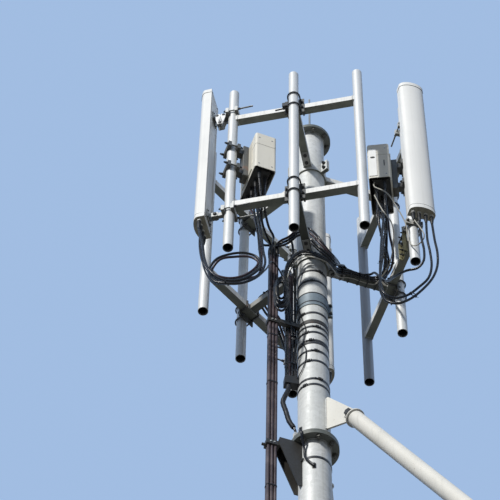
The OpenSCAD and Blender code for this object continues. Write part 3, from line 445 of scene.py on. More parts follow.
class Finish:
    """A material, with short ways to wire its nodes in the row's frame."""

    def __init__(self, name, colour, roughness, metallic=0.0, specular=0.5):
        self.name = name
        self.base = colour
        self.material = bpy.data.materials.new(name)
        self.material.use_nodes = True
        self.tree = self.material.node_tree
        self.shader = self.tree.nodes["Principled BSDF"]
        self.shade("Roughness", roughness)
        self.shade("Metallic", metallic)
        self.shade("Specular IOR Level", specular)
        self.place = self.add("TexCoord").outputs["Object"]
        self.bumped = None

    def put(self, socket, value):
        if isinstance(value, bpy.types.NodeSocket):
            self.tree.links.new(value, socket)
        else:
            socket.default_value = value

    def shade(self, name, value):
        self.put(self.shader.inputs[name], value)

    def add(self, kind, inputs=(), **settings):
        """Makes a node and fills its inputs, given as pairs of a name or number and a value."""
        made = self.tree.nodes.new("ShaderNode" + kind)
        for key, value in settings.items():
            setattr(made, key, value)
        for key, value in inputs:
            self.put(made.inputs[key], value)
        return made

    def stretched(self, across, along):
        scale = (across, across, along)
        made = self.add("Mapping", (("Vector", self.place), ("Scale", scale)))
        return made.outputs["Vector"]

    def noise(self, scale, detail, at=None, rough=0.5):
        made = self.add("TexNoise", (("Vector", at or self.place), ("Scale", scale),
                                     ("Detail", detail), ("Roughness", rough)))
        return made.outputs["Fac"]

    def cells(self, scale):
        made = self.add("TexVoronoi", (("Vector", self.place), ("Scale", scale)))
        return self.part(made.outputs["Color"], 0)

    def part(self, vector, axis):
        return self.add("SeparateXYZ", ((0, vector),)).outputs[axis]

    def upward(self):
        return self.part(self.add("NewGeometry").outputs["Normal"], 2)

    def below(self):
        """1 on surfaces that look down."""
        return self.ramp(self.upward(), -0.60, -0.85)

    def height(self):
        return self.part(self.place, 2)

    def from_axis(self):
        """Distance from the mast's axis."""
        flat = self.stretched(1.0, 0.0)
        return self.add("VectorMath", ((0, flat),), operation="LENGTH").outputs["Value"]

    def along(self, place):
        """Distance of a point in front of a place, along the place's x axis."""
        ahead = place.to_3x3().col[0]
        made = self.add("VectorMath", ((0, self.place), (1, ahead)), operation="DOT_PRODUCT")
        return self.maths("SUBTRACT", made.outputs["Value"], ahead.dot(place.translation))

    def ramp(self, value, low, high, to_low=0.0, to_high=1.0):
        made = self.add("MapRange", (("Value", value), ("From Min", low), ("From Max", high),
                                     ("To Min", to_low), ("To Max", to_high)))
        return made.outputs["Result"]

    def maths(self, operation, a, b):
        return self.add("Math", ((0, a), (1, b)), operation=operation).outputs[0]

    def mix(self, share, a, b):
        made = self.add("Mix", (("Factor", share), (6, rgba(a)), (7, rgba(b))),
                        data_type="RGBA")
        return made.outputs[2]

    def patches(self, scale, detail, low, high, most=1.0, least=0.0, rough=0.5, at=None):
        """Noise that rises from its least to its most between two levels."""
        return self.ramp(self.noise(scale, detail, at, rough), low, high, least, most)

    def streaks(self, scale, detail, across, along, low, high, most, rough=0.6):
        """Patches drawn out downwards, as rain leaves them."""
        at = self.stretched(across, along)
        return self.patches(scale, detail, low, high, most, rough=rough, at=at)

    def nook(self, reach, low, high, most=1.0, **settings):
        """Its most deep in a corner, 0 in the open."""
        made = self.add("AmbientOcclusion", (("Distance", reach),), samples=6, **settings)
        return self.ramp(made.outputs["AO"], low, high, most, 0.0)

    def corner_shade(self, reach, most):
        """Painted shade where surfaces meet, from ambient occlusion."""
        return self.nook(reach, 0.35, 0.85, most)

    def shade_in_bore(self, reach):
        """Mask of painted shade: 1 deep inside the piece's own bore or channel, 0 on its outside.
        """
        return self.nook(reach, 0.25, 0.70, only_local=True)

    def bump(self, height, strength, depth):
        made = self.add("Bump", (("Strength", strength), ("Distance", depth),
                                 ("Height", height)))
        if self.bumped:
            self.put(made.inputs["Normal"], self.bumped)
        self.bumped = made.outputs["Normal"]
        self.shade("Normal", self.bumped)

    def over(self, share, value):
        """Lays another colour over the finish where share is 1."""
        self.base = self.mix(share, self.base, value)
        self.shade("Base Color", self.base)

    def lay_uneven(self, share, value):
        """Lays an uneven darker colour over the finish where share is 1: painted shade on
        undersides, oxide on the flanges.
        """
        uneven = self.patches(11.0, 5.0, 0.30, 0.70, rough=0.6)
        self.over(share, self.mix(uneven, value, darker(value, 0.62)))


def zinc(name, bright, dull, stain, rust=0.0, metallic=0.3, spangle=70.0, mottle=0.22,
         underside_shade=(0.22, 0.23, 0.19)):
    """Hot-dip galvanised steel: crystal patches, rain streaks, painted shade where surfaces meet
    and painted shade on the undersides.
    """
    f = Finish(name, bright, 0.5, metallic)
    crystal = f.cells(spangle)
    patch = f.patches(2.2, 5.0, 0.38, 0.66)
    f.over(patch, dull)
    f.over(f.ramp(crystal, 0.0, 1.0, 0.0, mottle), darker(dull, 0.72))
    f.over(f.streaks(3.0, 5.0, 14.0, 0.7, 0.52, 0.78, 0.45), stain)
    f.over(f.patches(95.0, 3.0, 0.66, 0.74, 0.5), stain)
    if rust:
        f.over(f.patches(9.0, 8.0, 0.60, 0.70, rust, rough=0.7), RUST)
    # painted shade where surfaces meet
    f.over(f.corner_shade(0.03, 0.6), darker(stain, 0.35))
    # painted shade on the surfaces that look down, in the underside colour; there the metal also
    # stops reflecting
    below = f.below()
    f.lay_uneven(below, underside_shade)
    f.shade("Metallic", f.ramp(below, 0.0, 1.0, metallic, 0.0))
    f.shade("Roughness", f.ramp(f.maths("ADD", crystal, patch), 0.0, 2.0, 0.38, 0.64))
    f.bump(crystal, 0.10, 0.0006)
    f.bump(f.noise(260.0, 2.0), 0.12, 0.0005)
    return f


def mast_zinc():
    """Zinc of the mast, with oxidised flanges."""
    f = zinc("galvanised_mast", (0.78, 0.79, 0.78), (0.68, 0.70, 0.69), (0.38, 0.39, 0.36),
             metallic=0.10, spangle=42.0, mottle=0.45)
    spacing = JOINTS[1] - JOINTS[0]
    up = f.maths("SUBTRACT", f.height(), JOINTS[0] - spacing)
    from_joint = f.maths("PINGPONG", up, spacing / 2)
    level = f.ramp(from_joint, 0.0215, 0.0240, 1.0, 0.0)
    outside = f.ramp(f.from_axis(), 0.114, 0.118)
    f.lay_uneven(f.maths("MULTIPLY", level, outside), FLANGE_SOIL)
    return f


def pipe_zinc(name):
    """Zinc of the mount pipes, with painted shade inside the open ends."""
    f = zinc(name, (0.82, 0.83, 0.83), (0.70, 0.72, 0.72), (0.40, 0.40, 0.37),
             metallic=0.2, underside_shade=(0.42, 0.42, 0.40))
    # painted shade inside the open ends
    f.over(f.shade_in_bore(0.4), BORE_SHADE)
    return f


def shaded_pipe_zinc():
    """Pipe zinc with painted shade, a dull blue grey, below the upper rail."""
    f = pipe_zinc("right_far_pipe")
    edge = f.maths("ADD", f.height(), f.patches(14.0, 4.0, 0.3, 0.7, 0.03, -0.03))
    # painted shade: a dull blue grey below the upper rail, with a ragged edge
    f.over(f.ramp(edge, 16.58, 16.46), (0.40, 0.43, 0.48))
    # painted shade inside the open ends
    f.over(f.shade_in_bore(0.4), BORE_SHADE)
    return f


def clamp_zinc(name):
    # dark zinc of the clamps, with painted shade on its undersides in its underside colour
    return zinc(name, (0.13, 0.13, 0.12), (0.085, 0.085, 0.08), (0.07, 0.055, 0.04), rust=0.8,
                metallic=0.2, underside_shade=(0.07, 0.065, 0.05))


def radio_bracket(name):
    """Dark clamps, and a back plate in the colour of the radio's cover."""
    f = clamp_zinc(name + "_radio_bracket")
    f.over(f.ramp(f.along(at_radio(name)), -0.0092, -0.0086), (0.74, 0.71, 0.62))
    return f


def paint(name, colour, worn, roughness, grain=420.0, fade=0.3, chips=0.0):
    """Coated metal: slight orange peel, faded patches, painted shade in corners and rare chips.
    """
    f = Finish(name, colour, roughness, specular=0.4)
    f.over(f.patches(3.0, 6.0, 0.40, 0.70, fade), worn)
    f.over(f.streaks(2.6, 5.0, 16.0, 0.8, 0.55, 0.80, fade), darker(worn, 0.55))
    if chips:
        f.over(f.patches(38.0, 6.0, 0.64, 0.67, chips, rough=0.65), CHIPPED)
    # painted shade where surfaces meet
    f.over(f.corner_shade(0.03, 0.65), darker(worn, 0.25))
    f.shade("Roughness", f.patches(24.0, 4.0, 0.3, 0.7, roughness + 0.12, roughness - 0.08))
    f.bump(f.noise(grain, 2.0), 0.10, 0.0004)
    return f


def radome():
    """Off-white moulded plastic with faint dirt runs, painted shade where surfaces meet, and
    darker lower ends that are painted shade and dirt.
    """
    f = Finish("radome", (0.93, 0.94, 0.93), 0.42, specular=0.45)
    f.over(f.patches(1.6, 4.0, 0.35, 0.70), (0.86, 0.87, 0.86))
    f.over(f.streaks(2.4, 6.0, 22.0, 0.5, 0.54, 0.80, 0.30, 0.62), (0.55, 0.54, 0.49))
    # painted shade where surfaces meet
    f.over(f.corner_shade(0.05, 0.55), (0.36, 0.35, 0.32))
    # darker brownish surfaces that look down: painted shade and dirt
    f.lay_uneven(f.below(), (0.46, 0.43, 0.33))
    f.shade("Roughness", f.patches(18.0, 4.0, 0.3, 0.7, 0.50, 0.34))
    f.bump(f.noise(330.0, 2.0), 0.06, 0.0004)
    return f


def rubber(name, colour, dust, roughness=0.30, dusty=0.25):
    """Sheath with dust that settles in patches and on top, and a fine skin."""
    f = Finish(name, colour, roughness, specular=0.28)
    f.over(f.patches(7.0, 6.0, 0.48, 0.72, dusty, rough=0.6), dust)
    f.over(f.ramp(f.upward(), 0.35, 1.0, 0.0, 0.35), dust)
    f.shade("Roughness", f.patches(40.0, 3.0, 0.3, 0.7, roughness + 0.14, roughness - 0.08))
    f.bump(f.noise(220.0, 3.0), 0.10, 0.0004)
    return f


class Form:
    """Points and faces of many small shapes, joined into one mesh."""

    def __init__(self):
        self.points = []
        self.faces = []

    def add(self, points, faces, place=HERE):
        start = len(self.points)
        self.points += [place @ Vector(p) for p in points]
        self.faces += [[start + i for i in face] for face in faces]

    def rings(self, rings, closed=False, place=HERE):
        """Joins rings of equally many points; open ends are capped."""
        n = len(rings[0])
        count = len(rings)
        faces = [(i * n + k, i * n + (k + 1) % n,
                  (i + 1) % count * n + (k + 1) % n, (i + 1) % count * n + k)
                 for i in range(count if closed else count - 1) for k in range(n)]
        if not closed:
            faces += [tuple(reversed(range(n))), tuple(range((count - 1) * n, count * n))]
        self.add([p for ring in rings for p in ring], faces, place)

    def lathe(self, profile, sides, place):
        """Turns (radius, height) points round the place's z axis."""
        self.rings([circle(r, z, sides) for r, z in profile], place=place)

    def sweep(self, path, radius, sides=8, closed=False, place=HERE):
        """Round bar along a path; radius is one number, or one for each point."""
        path = [Vector(p) for p in path]
        last = len(path) - 1
        radii = [radius] * len(path) if isinstance(radius, float) else radius
        side = None
        rings = []
        for i, point in enumerate(path):
            ahead = path[(i + 1) % len(path)] if closed else path[min(i + 1, last)]
            behind = path[i - 1] if closed else path[max(i - 1, 0)]
            along = (ahead - behind).normalized()
            if side is None:
                side = along.cross(Vector((0.31, 0.22, 1.0)))
            side = (side - side.dot(along) * along).normalized()
            other = along.cross(side)
            rings.append([point + radii[i] * (math.cos(a) * side + math.sin(a) * other)
                          for a in turns(sides)])
        self.rings(rings, closed, place)

    def block(self, low, high, place=HERE, edge=0.0012):
        """Box with chamfered edges between two corners."""
        (x0, y0, z0), (x1, y1, z1) = low, high
        e = edge

        def ring(inset, z):
            x2, y2, x3, y3 = x0 + inset, y0 + inset, x1 - inset, y1 - inset
            return [(x2 + e, y2, z), (x3 - e, y2, z), (x3, y2 + e, z), (x3, y3 - e, z),
                    (x3 - e, y3, z), (x2 + e, y3, z), (x2, y3 - e, z), (x2, y2 + e, z)]

        self.rings([ring(e, z0), ring(0, z0 + e), ring(0, z1 - e), ring(e, z1)], place=place)

    def washer(self, place, d):
        self.lathe([(0.88 * d, 0), (0.95 * d, 0.03 * d), (0.95 * d, 0.12 * d),
                    (0.88 * d, 0.15 * d)], 20, place)

    def hexagon(self, place, d, h):
        """Six-sided head or nut with chamfered corners."""
        self.lathe([(0.78 * d, 0), (0.87 * d, 0.09 * d), (0.87 * d, h - 0.09 * d),
                    (0.76 * d, h)], 6, place)

    def thread(self, place, d, length):
        pitch = 0.16 * d
        steps = max(2, int(length / pitch))
        profile = [(0.5 * d if i % 2 else 0.44 * d, length * i / (2 * steps))
                   for i in range(2 * steps)]
        self.lathe(profile + [(0.40 * d, length)], 12, place)

    def nut(self, place, d, out=0.5):
        """Washer, nut and the thread that stands out of it."""
        self.washer(place, d)
        self.hexagon(place @ move(0, 0, 0.15 * d), d, 0.80 * d)
        self.thread(place @ move(0, 0, 0.95 * d), d, out * d)

    def bolt(self, place, grip, d):
        """Hex bolt along the place's z axis: head on z = 0, nut below the grip."""
        self.head(place, d, 0.62)
        self.nut(place @ move(0, 0, -grip) @ OVER, d)

    def head(self, place, d, share):
        """Washer and hex head, its height a share of the bolt's size."""
        self.washer(place, d)
        self.hexagon(place @ move(0, 0, 0.15 * d), d, share * d)

    def screw(self, place, r, sides):
        """Low round head with a chamfer."""
        self.lathe([(r, 0), (r, 0.0015), (r - 0.0025, 0.003)], sides, place)

    def bead(self, path, radius, closed=False, place=HERE):
        """Weld bead with ripples."""
        dense = []
        for a, b in zip(path, path[1:] + path[:1] if closed else path[1:]):
            a, b = Vector(a), Vector(b)
            count = max(1, round((b - a).length / (1.6 * radius)))
            dense += [a.lerp(b, i / count) for i in range(count)]
        radii = [radius * (1.0 if i % 2 else 0.84) for i in range(len(dense))]
        self.sweep(dense, radii, 6, closed, place)


def piece(name, form, slot, look=None, angle=38):
    """Makes a piece of the scene, smooth except at edges sharper than the angle."""
    mesh = bpy.data.meshes.new(name)
    mesh.from_pydata(form.points, [], form.faces)
    shape = bmesh.new()
    shape.from_mesh(mesh)
    bmesh.ops.recalc_face_normals(shape, faces=shape.faces)
    shape.to_mesh(mesh)
    shape.free()
    mesh.polygons.foreach_set("use_smooth", [True] * len(mesh.polygons))
    mesh.set_sharp_from_angle(angle=math.radians(angle))
    mesh.materials.append(finish[look or slot].material)
    made = add_object(name, mesh)
    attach(made, "root")
    return made


def cable_piece(name, path, radius, look="cable_black", sides=14):
    form = Form()
    form.sweep(path, radius, sides)
    return piece(name, form, "cable_black", look, 60)


def at_pipe(yaw, up):
    return turn_z(yaw) @ move(-PIPE_SPAN, -FRAME_R, PIPE_FOOT + up)


def at_antenna(name):
    """Place of an antenna's bottom: the pipe's axis at z, the antenna towards -x."""
    yaw, pan, up = ANTENNAS[name]
    return at_pipe(yaw, up + ANT_UP) @ turn_z(pan)


def at_radio(name):
    """Place of a radio's bottom: its back on x = 0, its front towards +x."""
    yaw, turn, up = RADIOS[name]
    return at_pipe(yaw, up) @ turn_z(turn) @ move(RADIO_BACK, 0, 0)


def make_arm_bolts():
    """Plates under the arms beside the collars, with the bolts that hold the arms."""
    near, far, half, thick = 0.135, 0.255, 0.024, 0.006
    plates = Form()
    bolts = Form()
    for z, turn in product(RAIL_HEIGHTS, ARM_TURNS):
        place = turn_z(turn) @ move(0, 0, z - RAIL_HALF)
        plates.block((near, -half, -thick), (far, half, 0.0), place)
        for r in ARM_BOLTS:
            bolts.bolt(place @ move(r, 0, -thick) @ OVER, 2 * RAIL_HALF + thick, M16)
    piece("arm_plates", plates, "galvanised_pipe")
    piece("arm_bolts", bolts, "clamp_steel", "bolt_dark")


def make_end_plate():
    """Yellow passivated clamp plate on the right lower rail, beside the near pipe."""
    left, right, low, high, deep, lip = 0.048, 0.138, -0.150, 0.170, 0.036, 0.006
    place = turn_z(FACES["right"]) @ move(-PIPE_SPAN, -FRAME_R + RAIL_HALF, RAIL_HEIGHTS[0])
    plate = Form()
    nuts = Form()
    for start, end in (((left, 0.0, low), (right, PLATE_T, high)),
                       ((left, PLATE_T, low), (left + lip, deep, high)),
                       ((right - lip, PLATE_T, low), (right, deep, 0.060))):
        plate.block(start, end, place, 0.002)
    for x, z in product((0.072, 0.114), (-0.110, -0.045, 0.045, 0.120)):
        nuts.nut(place @ facing((x, PLATE_T, z), (0, 1, 0)), M12, 1.6)
    piece("end_plate", plate, "bracket_steel", "yellow_zinc")
    piece("end_plate_nuts", nuts, "clamp_steel", "bolt_dark")


def make_flange_bolts():
    form = Form()
    rows = [(joint + FLANGE_T, 2 * FLANGE_T) for joint in JOINTS]
    rows.append((MAST_TOP + CAP_T, CAP_T + FLANGE_T))
    for (z, grip), i in product(rows, range(FLANGE_BOLTS)):
        turn = 360 / FLANGE_BOLTS * (i + 0.5)
        form.bolt(turn_z(turn) @ move(FLANGE_BOLT_R, 0, z), grip, M20)
    piece("flange_bolts", form, "clamp_steel", "bolt_worn")


def make_clamp_bolts():
    """Bolts of the collars' ears and of the sleeve's ears."""
    form = Form()
    for z, turn, side in product(RAIL_HEIGHTS, EAR_TURNS, SIDES):
        spot = facing((EAR_BOLT_R, EAR_GRIP / 2, z + side * COLLAR_H / 4), (0, 1, 0))
        form.bolt(turn_z(turn) @ spot, EAR_GRIP, M16)
    for share in (0.2, 0.8):
        z = SLEEVE_LOW + SLEEVE_H * share
        spot = facing((SLEEVE_BOLT_R, SLEEVE_GRIP / 2, z), (0, 1, 0))
        form.bolt(turn_z(SLEEVE_TURN) @ spot, SLEEVE_GRIP, M12)
    piece("collar_bolts", form, "clamp_steel", "bolt_dark")


def make_strut_pins():
    form = Form()
    pin_r, pin_z = STRUT_PIN
    foot_r = pin_r + (pin_z - FOOT_PIN_Z) * math.tan(math.radians(STRUT_LEAN))
    for turn, (r, z) in product(STRUT_TURNS, (STRUT_PIN, (foot_r, FOOT_PIN_Z))):
        form.bolt(turn_z(turn) @ facing((r, -PIN_GRIP / 2, z), (0, -1, 0)), PIN_GRIP, PIN_D)
    piece("strut_pins", form, "clamp_steel", "bolt_dark")


def pipe_u_bolt(form, place, z):
    """U-bolt round a middle pipe, its nuts behind the crossover plate."""
    d = M12
    hook = PIPE_R + HOOK_GAP
    back = -FRAME_R - RAIL_HALF
    bend = [(x, y, z) for x, y in arc((0, -MIDDLE_R), hook, 180, 360, 25)]
    form.sweep([(-hook, back + d, z)] + bend + [(hook, back + d, z)], d / 2, 10, place=place)
    for x in (-hook, hook):
        form.nut(place @ facing((x, back, z), (0, 1, 0)), d, 1.4)


def rail_u_bolt(form, place, x, z):
    """Square U-bolt round a rail, its nuts in front of the crossover plate."""
    d = M12
    r = 0.010
    up = RAIL_HALF + HOOK_GAP
    front = -FRAME_R - RAIL_HALF - PLATE_T
    middle = (-FRAME_R + RAIL_HALF + d / 2 - r, 0)
    low = [(x, y, z - up + r + v) for y, v in arc(middle, r, -90, 0, 6)]
    high = [(x, y, z + up - r + v) for y, v in arc(middle, r, 0, 90, 6)]
    path = [(x, front - d, z - up)] + low + high + [(x, front - d, z + up)]
    form.sweep(path, d / 2, 10, place=place)
    for h in (-up, up):
        form.nut(place @ facing((x, front, z + h), (0, -1, 0)), d, 0.9)


def make_u_bolts():
    """Bent bolts that hold each middle pipe and each rail to the crossover plates."""
    for face, yaw in FACES.items():
        form = Form()
        place = turn_z(yaw)
        for z, side in product(RAIL_HEIGHTS, SIDES):
            pipe_u_bolt(form, place, z + side * PIPE_BOLT_UP)
            rail_u_bolt(form, place, side * RAIL_BOLT_OUT, z)
        if face == "front":
            stub_with_block(form, place, RAIL_HEIGHTS[1] - 0.070)
        piece(face + "_u_bolts", form, "clamp_steel", "bolt_dark")


def stub_with_block(form, place, z):
    """Threaded rod with a dark block, beside the front middle pipe."""
    form.thread(place @ facing((-0.040, -MIDDLE_R, z), (-0.99, 0.06, 0.0)), M12, 0.105)
    form.block((-0.088, -MIDDLE_R - 0.016, z + 0.012), (-0.044, -MIDDLE_R + 0.020, z + 0.062),
               place, 0.002)


def clamp_nuts(form, place, reach):
    """Nuts and threads on the two long studs of one pipe clamp, its middle at z = 0."""
    d = M12
    for y in (-STUD_Y, STUD_Y):
        form.nut(place @ facing((-CLAMP_OUT, y, 0), (-1, 0, 0)), d, 0.6)
        back = place @ facing((CLAMP_OUT, y, 0), (1, 0, 0))
        form.nut(back, d, 0.2)
        past_nut = back @ move(0, 0, 0.95 * d)
        if reach > 0.05:
            form.hexagon(past_nut, d, 0.70 * d)
        form.thread(past_nut, 1.08 * d, reach - CLAMP_OUT - 0.95 * d)


def pin_ends(form, place, x, z, half, d):
    for side in SIDES:
        form.head(place @ facing((x, side * half, z), (0, side, 0)), d, 0.6)


def make_antenna_fasteners():
    """Nuts and pins of the antenna brackets, and the link plates beside the upper ones."""
    middle = CLAMP_H / 2
    level = UPPER_CLAMP + middle
    rear = -PIPE_R - LINK_IN
    thick, wide = LINK_HALF
    for name, gap in ANTENNA_GAPS.items():
        form = Form()
        links = Form()
        place = at_antenna(name)
        back = -PIPE_R - gap
        for z in (LOWER_CLAMP, UPPER_CLAMP):
            clamp_nuts(form, place @ move(0, 0, z + middle), PIPE_R + 0.130)
            for y, h in product((-0.036, 0.036), (-0.010, CLAMP_H + 0.010)):
                form.bolt(place @ facing((back + 0.008, y, z + h), (1, 0, 0)), 0.008, M8)
        pin_ends(form, place, back + 0.055, LOWER_CLAMP + middle, 0.020, M16)
        front = back + LINK_IN
        elbow = Vector(((front + rear) / 2, 0, level - ELBOW_DROP))
        for x, z in ((front, level), (elbow.x, elbow.z), (rear, level)):
            pin_ends(form, place, x, z, *LINK_PIN)
        for x, side in product((front, rear), SIDES):
            along = elbow - Vector((x, 0, level))
            links.block((-thick, -wide, -LINK_PAST), (thick, wide, along.length + LINK_PAST),
                        place @ facing((x, side * 0.0275, level), along))
        piece(name + "_bracket_nuts", form, "clamp_steel", "bolt_dark")
        piece(name + "_link_plates", links, "galvanised_pipe")


def make_radio_nuts():
    for name in RADIOS:
        form = Form()
        for z in RADIO_CLAMPS:
            spot = at_radio(name) @ move(-RADIO_BACK, 0, z + CLAMP_H / 2) @ turn_z(180)
            clamp_nuts(form, spot, PIPE_R + 0.040)
        piece(name + "_radio_nuts", form, "clamp_steel", "bolt_dark")


def make_feeder_bolts():
    """Bolts through the feeder clamps."""
    form = Form()
    across = RUN_PITCH + 0.006
    heights = [z + 0.020 for z in CLAMP_HEIGHTS] + [z - 0.050 for z in KNEE_HEIGHTS]
    for z, side in product(heights, SIDES):
        spot = facing((RUN_R + side * RUN_PITCH / 2, across, z), (0, 1, 0))
        form.bolt(turn_z(RUN_TURN) @ spot, 2 * across, M8)
    piece("feeder_clamp_bolts", form, "bracket_steel", "bolt_zinc")


def make_welds():
    """Beads where the mast's flanges, ribs, gussets, arms and rails are welded on."""
    form = Form()
    wall = MAST_R + 0.001
    levels = [joint + side * FLANGE_T for joint, side in product(JOINTS, SIDES)]
    for z in levels + [MAST_TOP - FLANGE_T]:
        form.bead(circle(wall, z), BEAD, True)
    form.bead(circle(wall, BASE_T), BASE_BEAD, True)
    for i, y in product(range(8), (-RIB_HALF, RIB_HALF)):
        form.bead([(wall, y, BASE_T), (wall, y, BASE_T + RIB_H)], FINE_BEAD,
                  place=turn_z(45 * i))
    for turn, side in product(STRUT_TURNS, SIDES):
        form.bead([(MAST_R, side * GUSSET_T / 2, STRUT_PIN[1] + up) for up in GUSSET_WELD],
                  BEAD, place=turn_z(turn))
    for z in RAIL_HEIGHTS:
        for turn, r in product(ARM_TURNS, (COLLAR_R - 0.001, FRAME_R - RAIL_HALF)):
            form.bead([(r, y, z + h) for y, h in square(RAIL_HALF)], FINE_BEAD, True,
                      turn_z(turn))
        for yaw, side in product(FACES.values(), SIDES):
            x = side * (PIPE_SPAN - PIPE_R - 0.001)
            form.bead([(x, -FRAME_R + a, z + b) for a, b in square(RAIL_HALF)], FINE_BEAD,
                      True, turn_z(yaw))
    piece("weld_beads", form, "galvanised_mast", angle=80)


def make_strap_buckles():
    """Screw housings and free ends of the straps round the mast."""
    form = Form()
    for z, turn in STRAPS.items():
        place = turn_z(turn) @ move(MAST_R + 0.003, 0, z)
        form.block((-0.001, -0.012, 0.001), (0.009, 0.012, STRAP_H - 0.001), place)
        form.bolt(place @ facing((0.005, 0.018, STRAP_H / 2), (0, 1, 0)), 0.006, 0.007)
        form.block((0.0, -0.034, 0.004), (0.0015, -0.012, STRAP_H - 0.004), place, 0.0005)
    piece("strap_buckles", form, "strap_steel")


def make_sleeve_bands():
    """Dark bands round the mast's sleeve that stop at its ears."""
    form = Form()
    near, far = MAST_R + SLEEVE_T - 0.0005, MAST_R + SLEEVE_T + 0.0020
    stop, steps, tall = 12, 60, 0.010
    for low in (SLEEVE_LOW + 0.034, SLEEVE_LOW + 0.140):
        section = [(near, 0, low), (far, 0, low), (far, 0, low + tall), (near, 0, low + tall)]
        places = [turn_z(SLEEVE_TURN + stop + (360 - 2 * stop) * k / steps)
                  for k in range(steps + 1)]
        form.rings([[place @ Vector(p) for p in section] for place in places])
    piece("sleeve_bands", form, "strap_steel")


def outline_of_antenna(grow):
    """Section of an antenna facing -x with its back on x = 0."""
    half = ANT_W / 2 + grow
    flat = ANT_D / 2
    bow = [(-flat + x * (ANT_D - flat + grow) / half, y)
           for x, y in arc((0, 0), half, 90, 270, 33)]
    return [(grow, -half), (grow, half)] + bow


def make_antenna_trim():
    """Cap seams, rear edge rails and cap screws of the antennas."""
    for name, gap in ANTENNA_GAPS.items():
        place = at_antenna(name) @ move(-PIPE_R - gap, 0, 0)
        seam = Form()
        rails = Form()
        for z in (CAP_H, ANT_H - CAP_H):
            path = [(x, y, z) for x, y in outline_of_antenna(-0.0012)]
            seam.sweep(path, 0.0022, 6, True, place)
        for y, z in product((-0.075, 0.075), (0.022, ANT_H - 0.022)):
            seam.screw(place @ facing((0, y, z), (1, 0, 0)), 0.0055, 14)
        for y in (-0.080, 0.080):
            rails.block((-0.001, y - 0.008, CAP_H + 0.010),
                        (0.0035, y + 0.008, ANT_H - CAP_H - 0.010), place)
        piece(name + "_antenna_seams", seam, "clamp_steel", "seam_gasket")
        piece(name + "_antenna_rails", rails, "radome")


def radio_block(name, part, low, high, edge, slot):
    form = Form()
    form.block(low, high, at_radio(name), edge)
    piece(name + "_radio_" + part, form, slot)


def make_radio_trim():
    """Screws, marks, side panels and rear channels of the radios."""
    half = RADIO_W / 2
    top = RADIO_H - 0.060
    for name in RADIOS:
        place = at_radio(name)
        trim = Form()
        for y, z in product((-half + 0.030, half - 0.030), (0.045, RADIO_H / 3, top)):
            trim.screw(place @ facing((RADIO_D, y, z), (1, 0, 0)), 0.0065, 16)
        for x, z, side in product((0.030, RADIO_D - 0.035), (0.045, top), SIDES):
            trim.screw(place @ facing((x, side * half, z), (0, side, 0)), 0.0065, 16)
        piece(name + "_radio_screws", trim, "bracket_steel", "bolt_zinc")
        marks = Form()
        knob = place @ facing((0.127, half + 0.004, 0.290), (0, 1, 0))
        marks.lathe([(0.013, -0.003), (0.013, 0.001), (0.009, 0.003)], 24,
                    knob @ Matrix.Diagonal((1.4, 1.0, 1.0, 1.0)))
        marks.block((0.038, half, 0.165), (0.045, half + 0.002, 0.245), place)
        piece(name + "_radio_marks", marks, "clamp_steel", "seam_gasket")
        radio_block(name, "panel", (0.098, half - 0.001, 0.020), (0.158, half + 0.004, 0.415),
                    0.002, "radome")
        radio_block(name, "channel", (-0.052, -0.040, 0.030), (-0.008, 0.040, RADIO_H - 0.030),
                    0.003, "clamp_steel")


def antenna_port(name, i):
    """Lower end of connector i of an antenna."""
    back = -PIPE_R - ANTENNA_GAPS[name]
    return at_antenna(name) @ Vector((back - PORT_IN, PORT_ACROSS[i], -PORT_LEN))


def radio_port(name, i):
    """Lower end of connector i of a radio."""
    return at_radio(name) @ Vector((*RADIO_PORTS[i], -RADIO_PORT_DROP))


def gland(i):
    """Cable entry i in the underside of the right radio."""
    return at_radio("right") @ Vector((*GLANDS[i], -GLAND_DROP))


def on_arm(r, s, up):
    """Point at distance r along the right lower arm and s to its side."""
    return turn_z(ARM_TURN) @ Vector((r, -s, PIPE_FOOT + up))


def feeder_top(i, j):
    return turn_z(RUN_TURN) @ Vector((RUN_R + (i - 1) * RUN_PITCH, j * RUN_PITCH / 2, RUN_TOP))


def by_mast(turn, gap, z):
    return turn_z(turn) @ Vector((MAST_R + gap, 0, z))


def lifted(name, foot=PIPE_FOOT):
    """A route's points in metres, above the height that they are given from."""
    return [Vector((x / 1000, y / 1000, z / 1000 + foot)) for x, y, z in ROUTES[name]]


def into(port):
    """Last points of a lead that enters a connector from straight below."""
    return [port - STRAIGHT, port]


def onto_feeder(i, j, rise):
    """Last points of a lead that meets the top of a feeder from above."""
    top = feeder_top(i, j)
    return [top + Vector((0, 0, rise)), top]


def down_mast(turn, gap, heights=(0.320, 0.050, -0.350)):
    """Last points of a lead that runs down beside the mast into the cable box."""
    down = [by_mast(turn, gap, PIPE_FOOT + up) for up in heights]
    return down + [by_mast(turn, gap, BOX_LOW + BOX_H)]


def slack(name):
    """Three turns of a slack coil, each tighter and further round than the last."""
    wide, high = COIL_HALF
    centre = Vector(COILS[name]) + Vector((0, 0, PIPE_FOOT))
    ahead = Vector((0.97, 0.22, 0))
    aside = Vector((0.22, -0.97, 0))
    made = []
    for k in range(COIL_STEPS):
        swing = math.radians(60 - 30 * k)
        tighter = 1 - 0.012 * k
        made.append(centre + ahead * wide * tighter * math.cos(swing) + aside * 0.0014 * k
                    + Vector((0, 0, high * tighter * math.sin(swing))))
    return made


def smooth(route):
    """Curve through the route's points, in short even steps."""
    last = len(route) - 1
    made = []
    for i in range(last):
        a, b, c, d = route[max(i - 1, 0)], route[i], route[i + 1], route[min(i + 2, last)]
        count = max(1, round((c - b).length / PATH_STEP))
        for j in range(count):
            u = j / count
            made.append(0.5 * (2 * b + (c - a) * u + (2 * a - 5 * b + 4 * c - d) * u * u
                               + (3 * b - a - 3 * c + d) * u * u * u))
    return made + [route[last]]


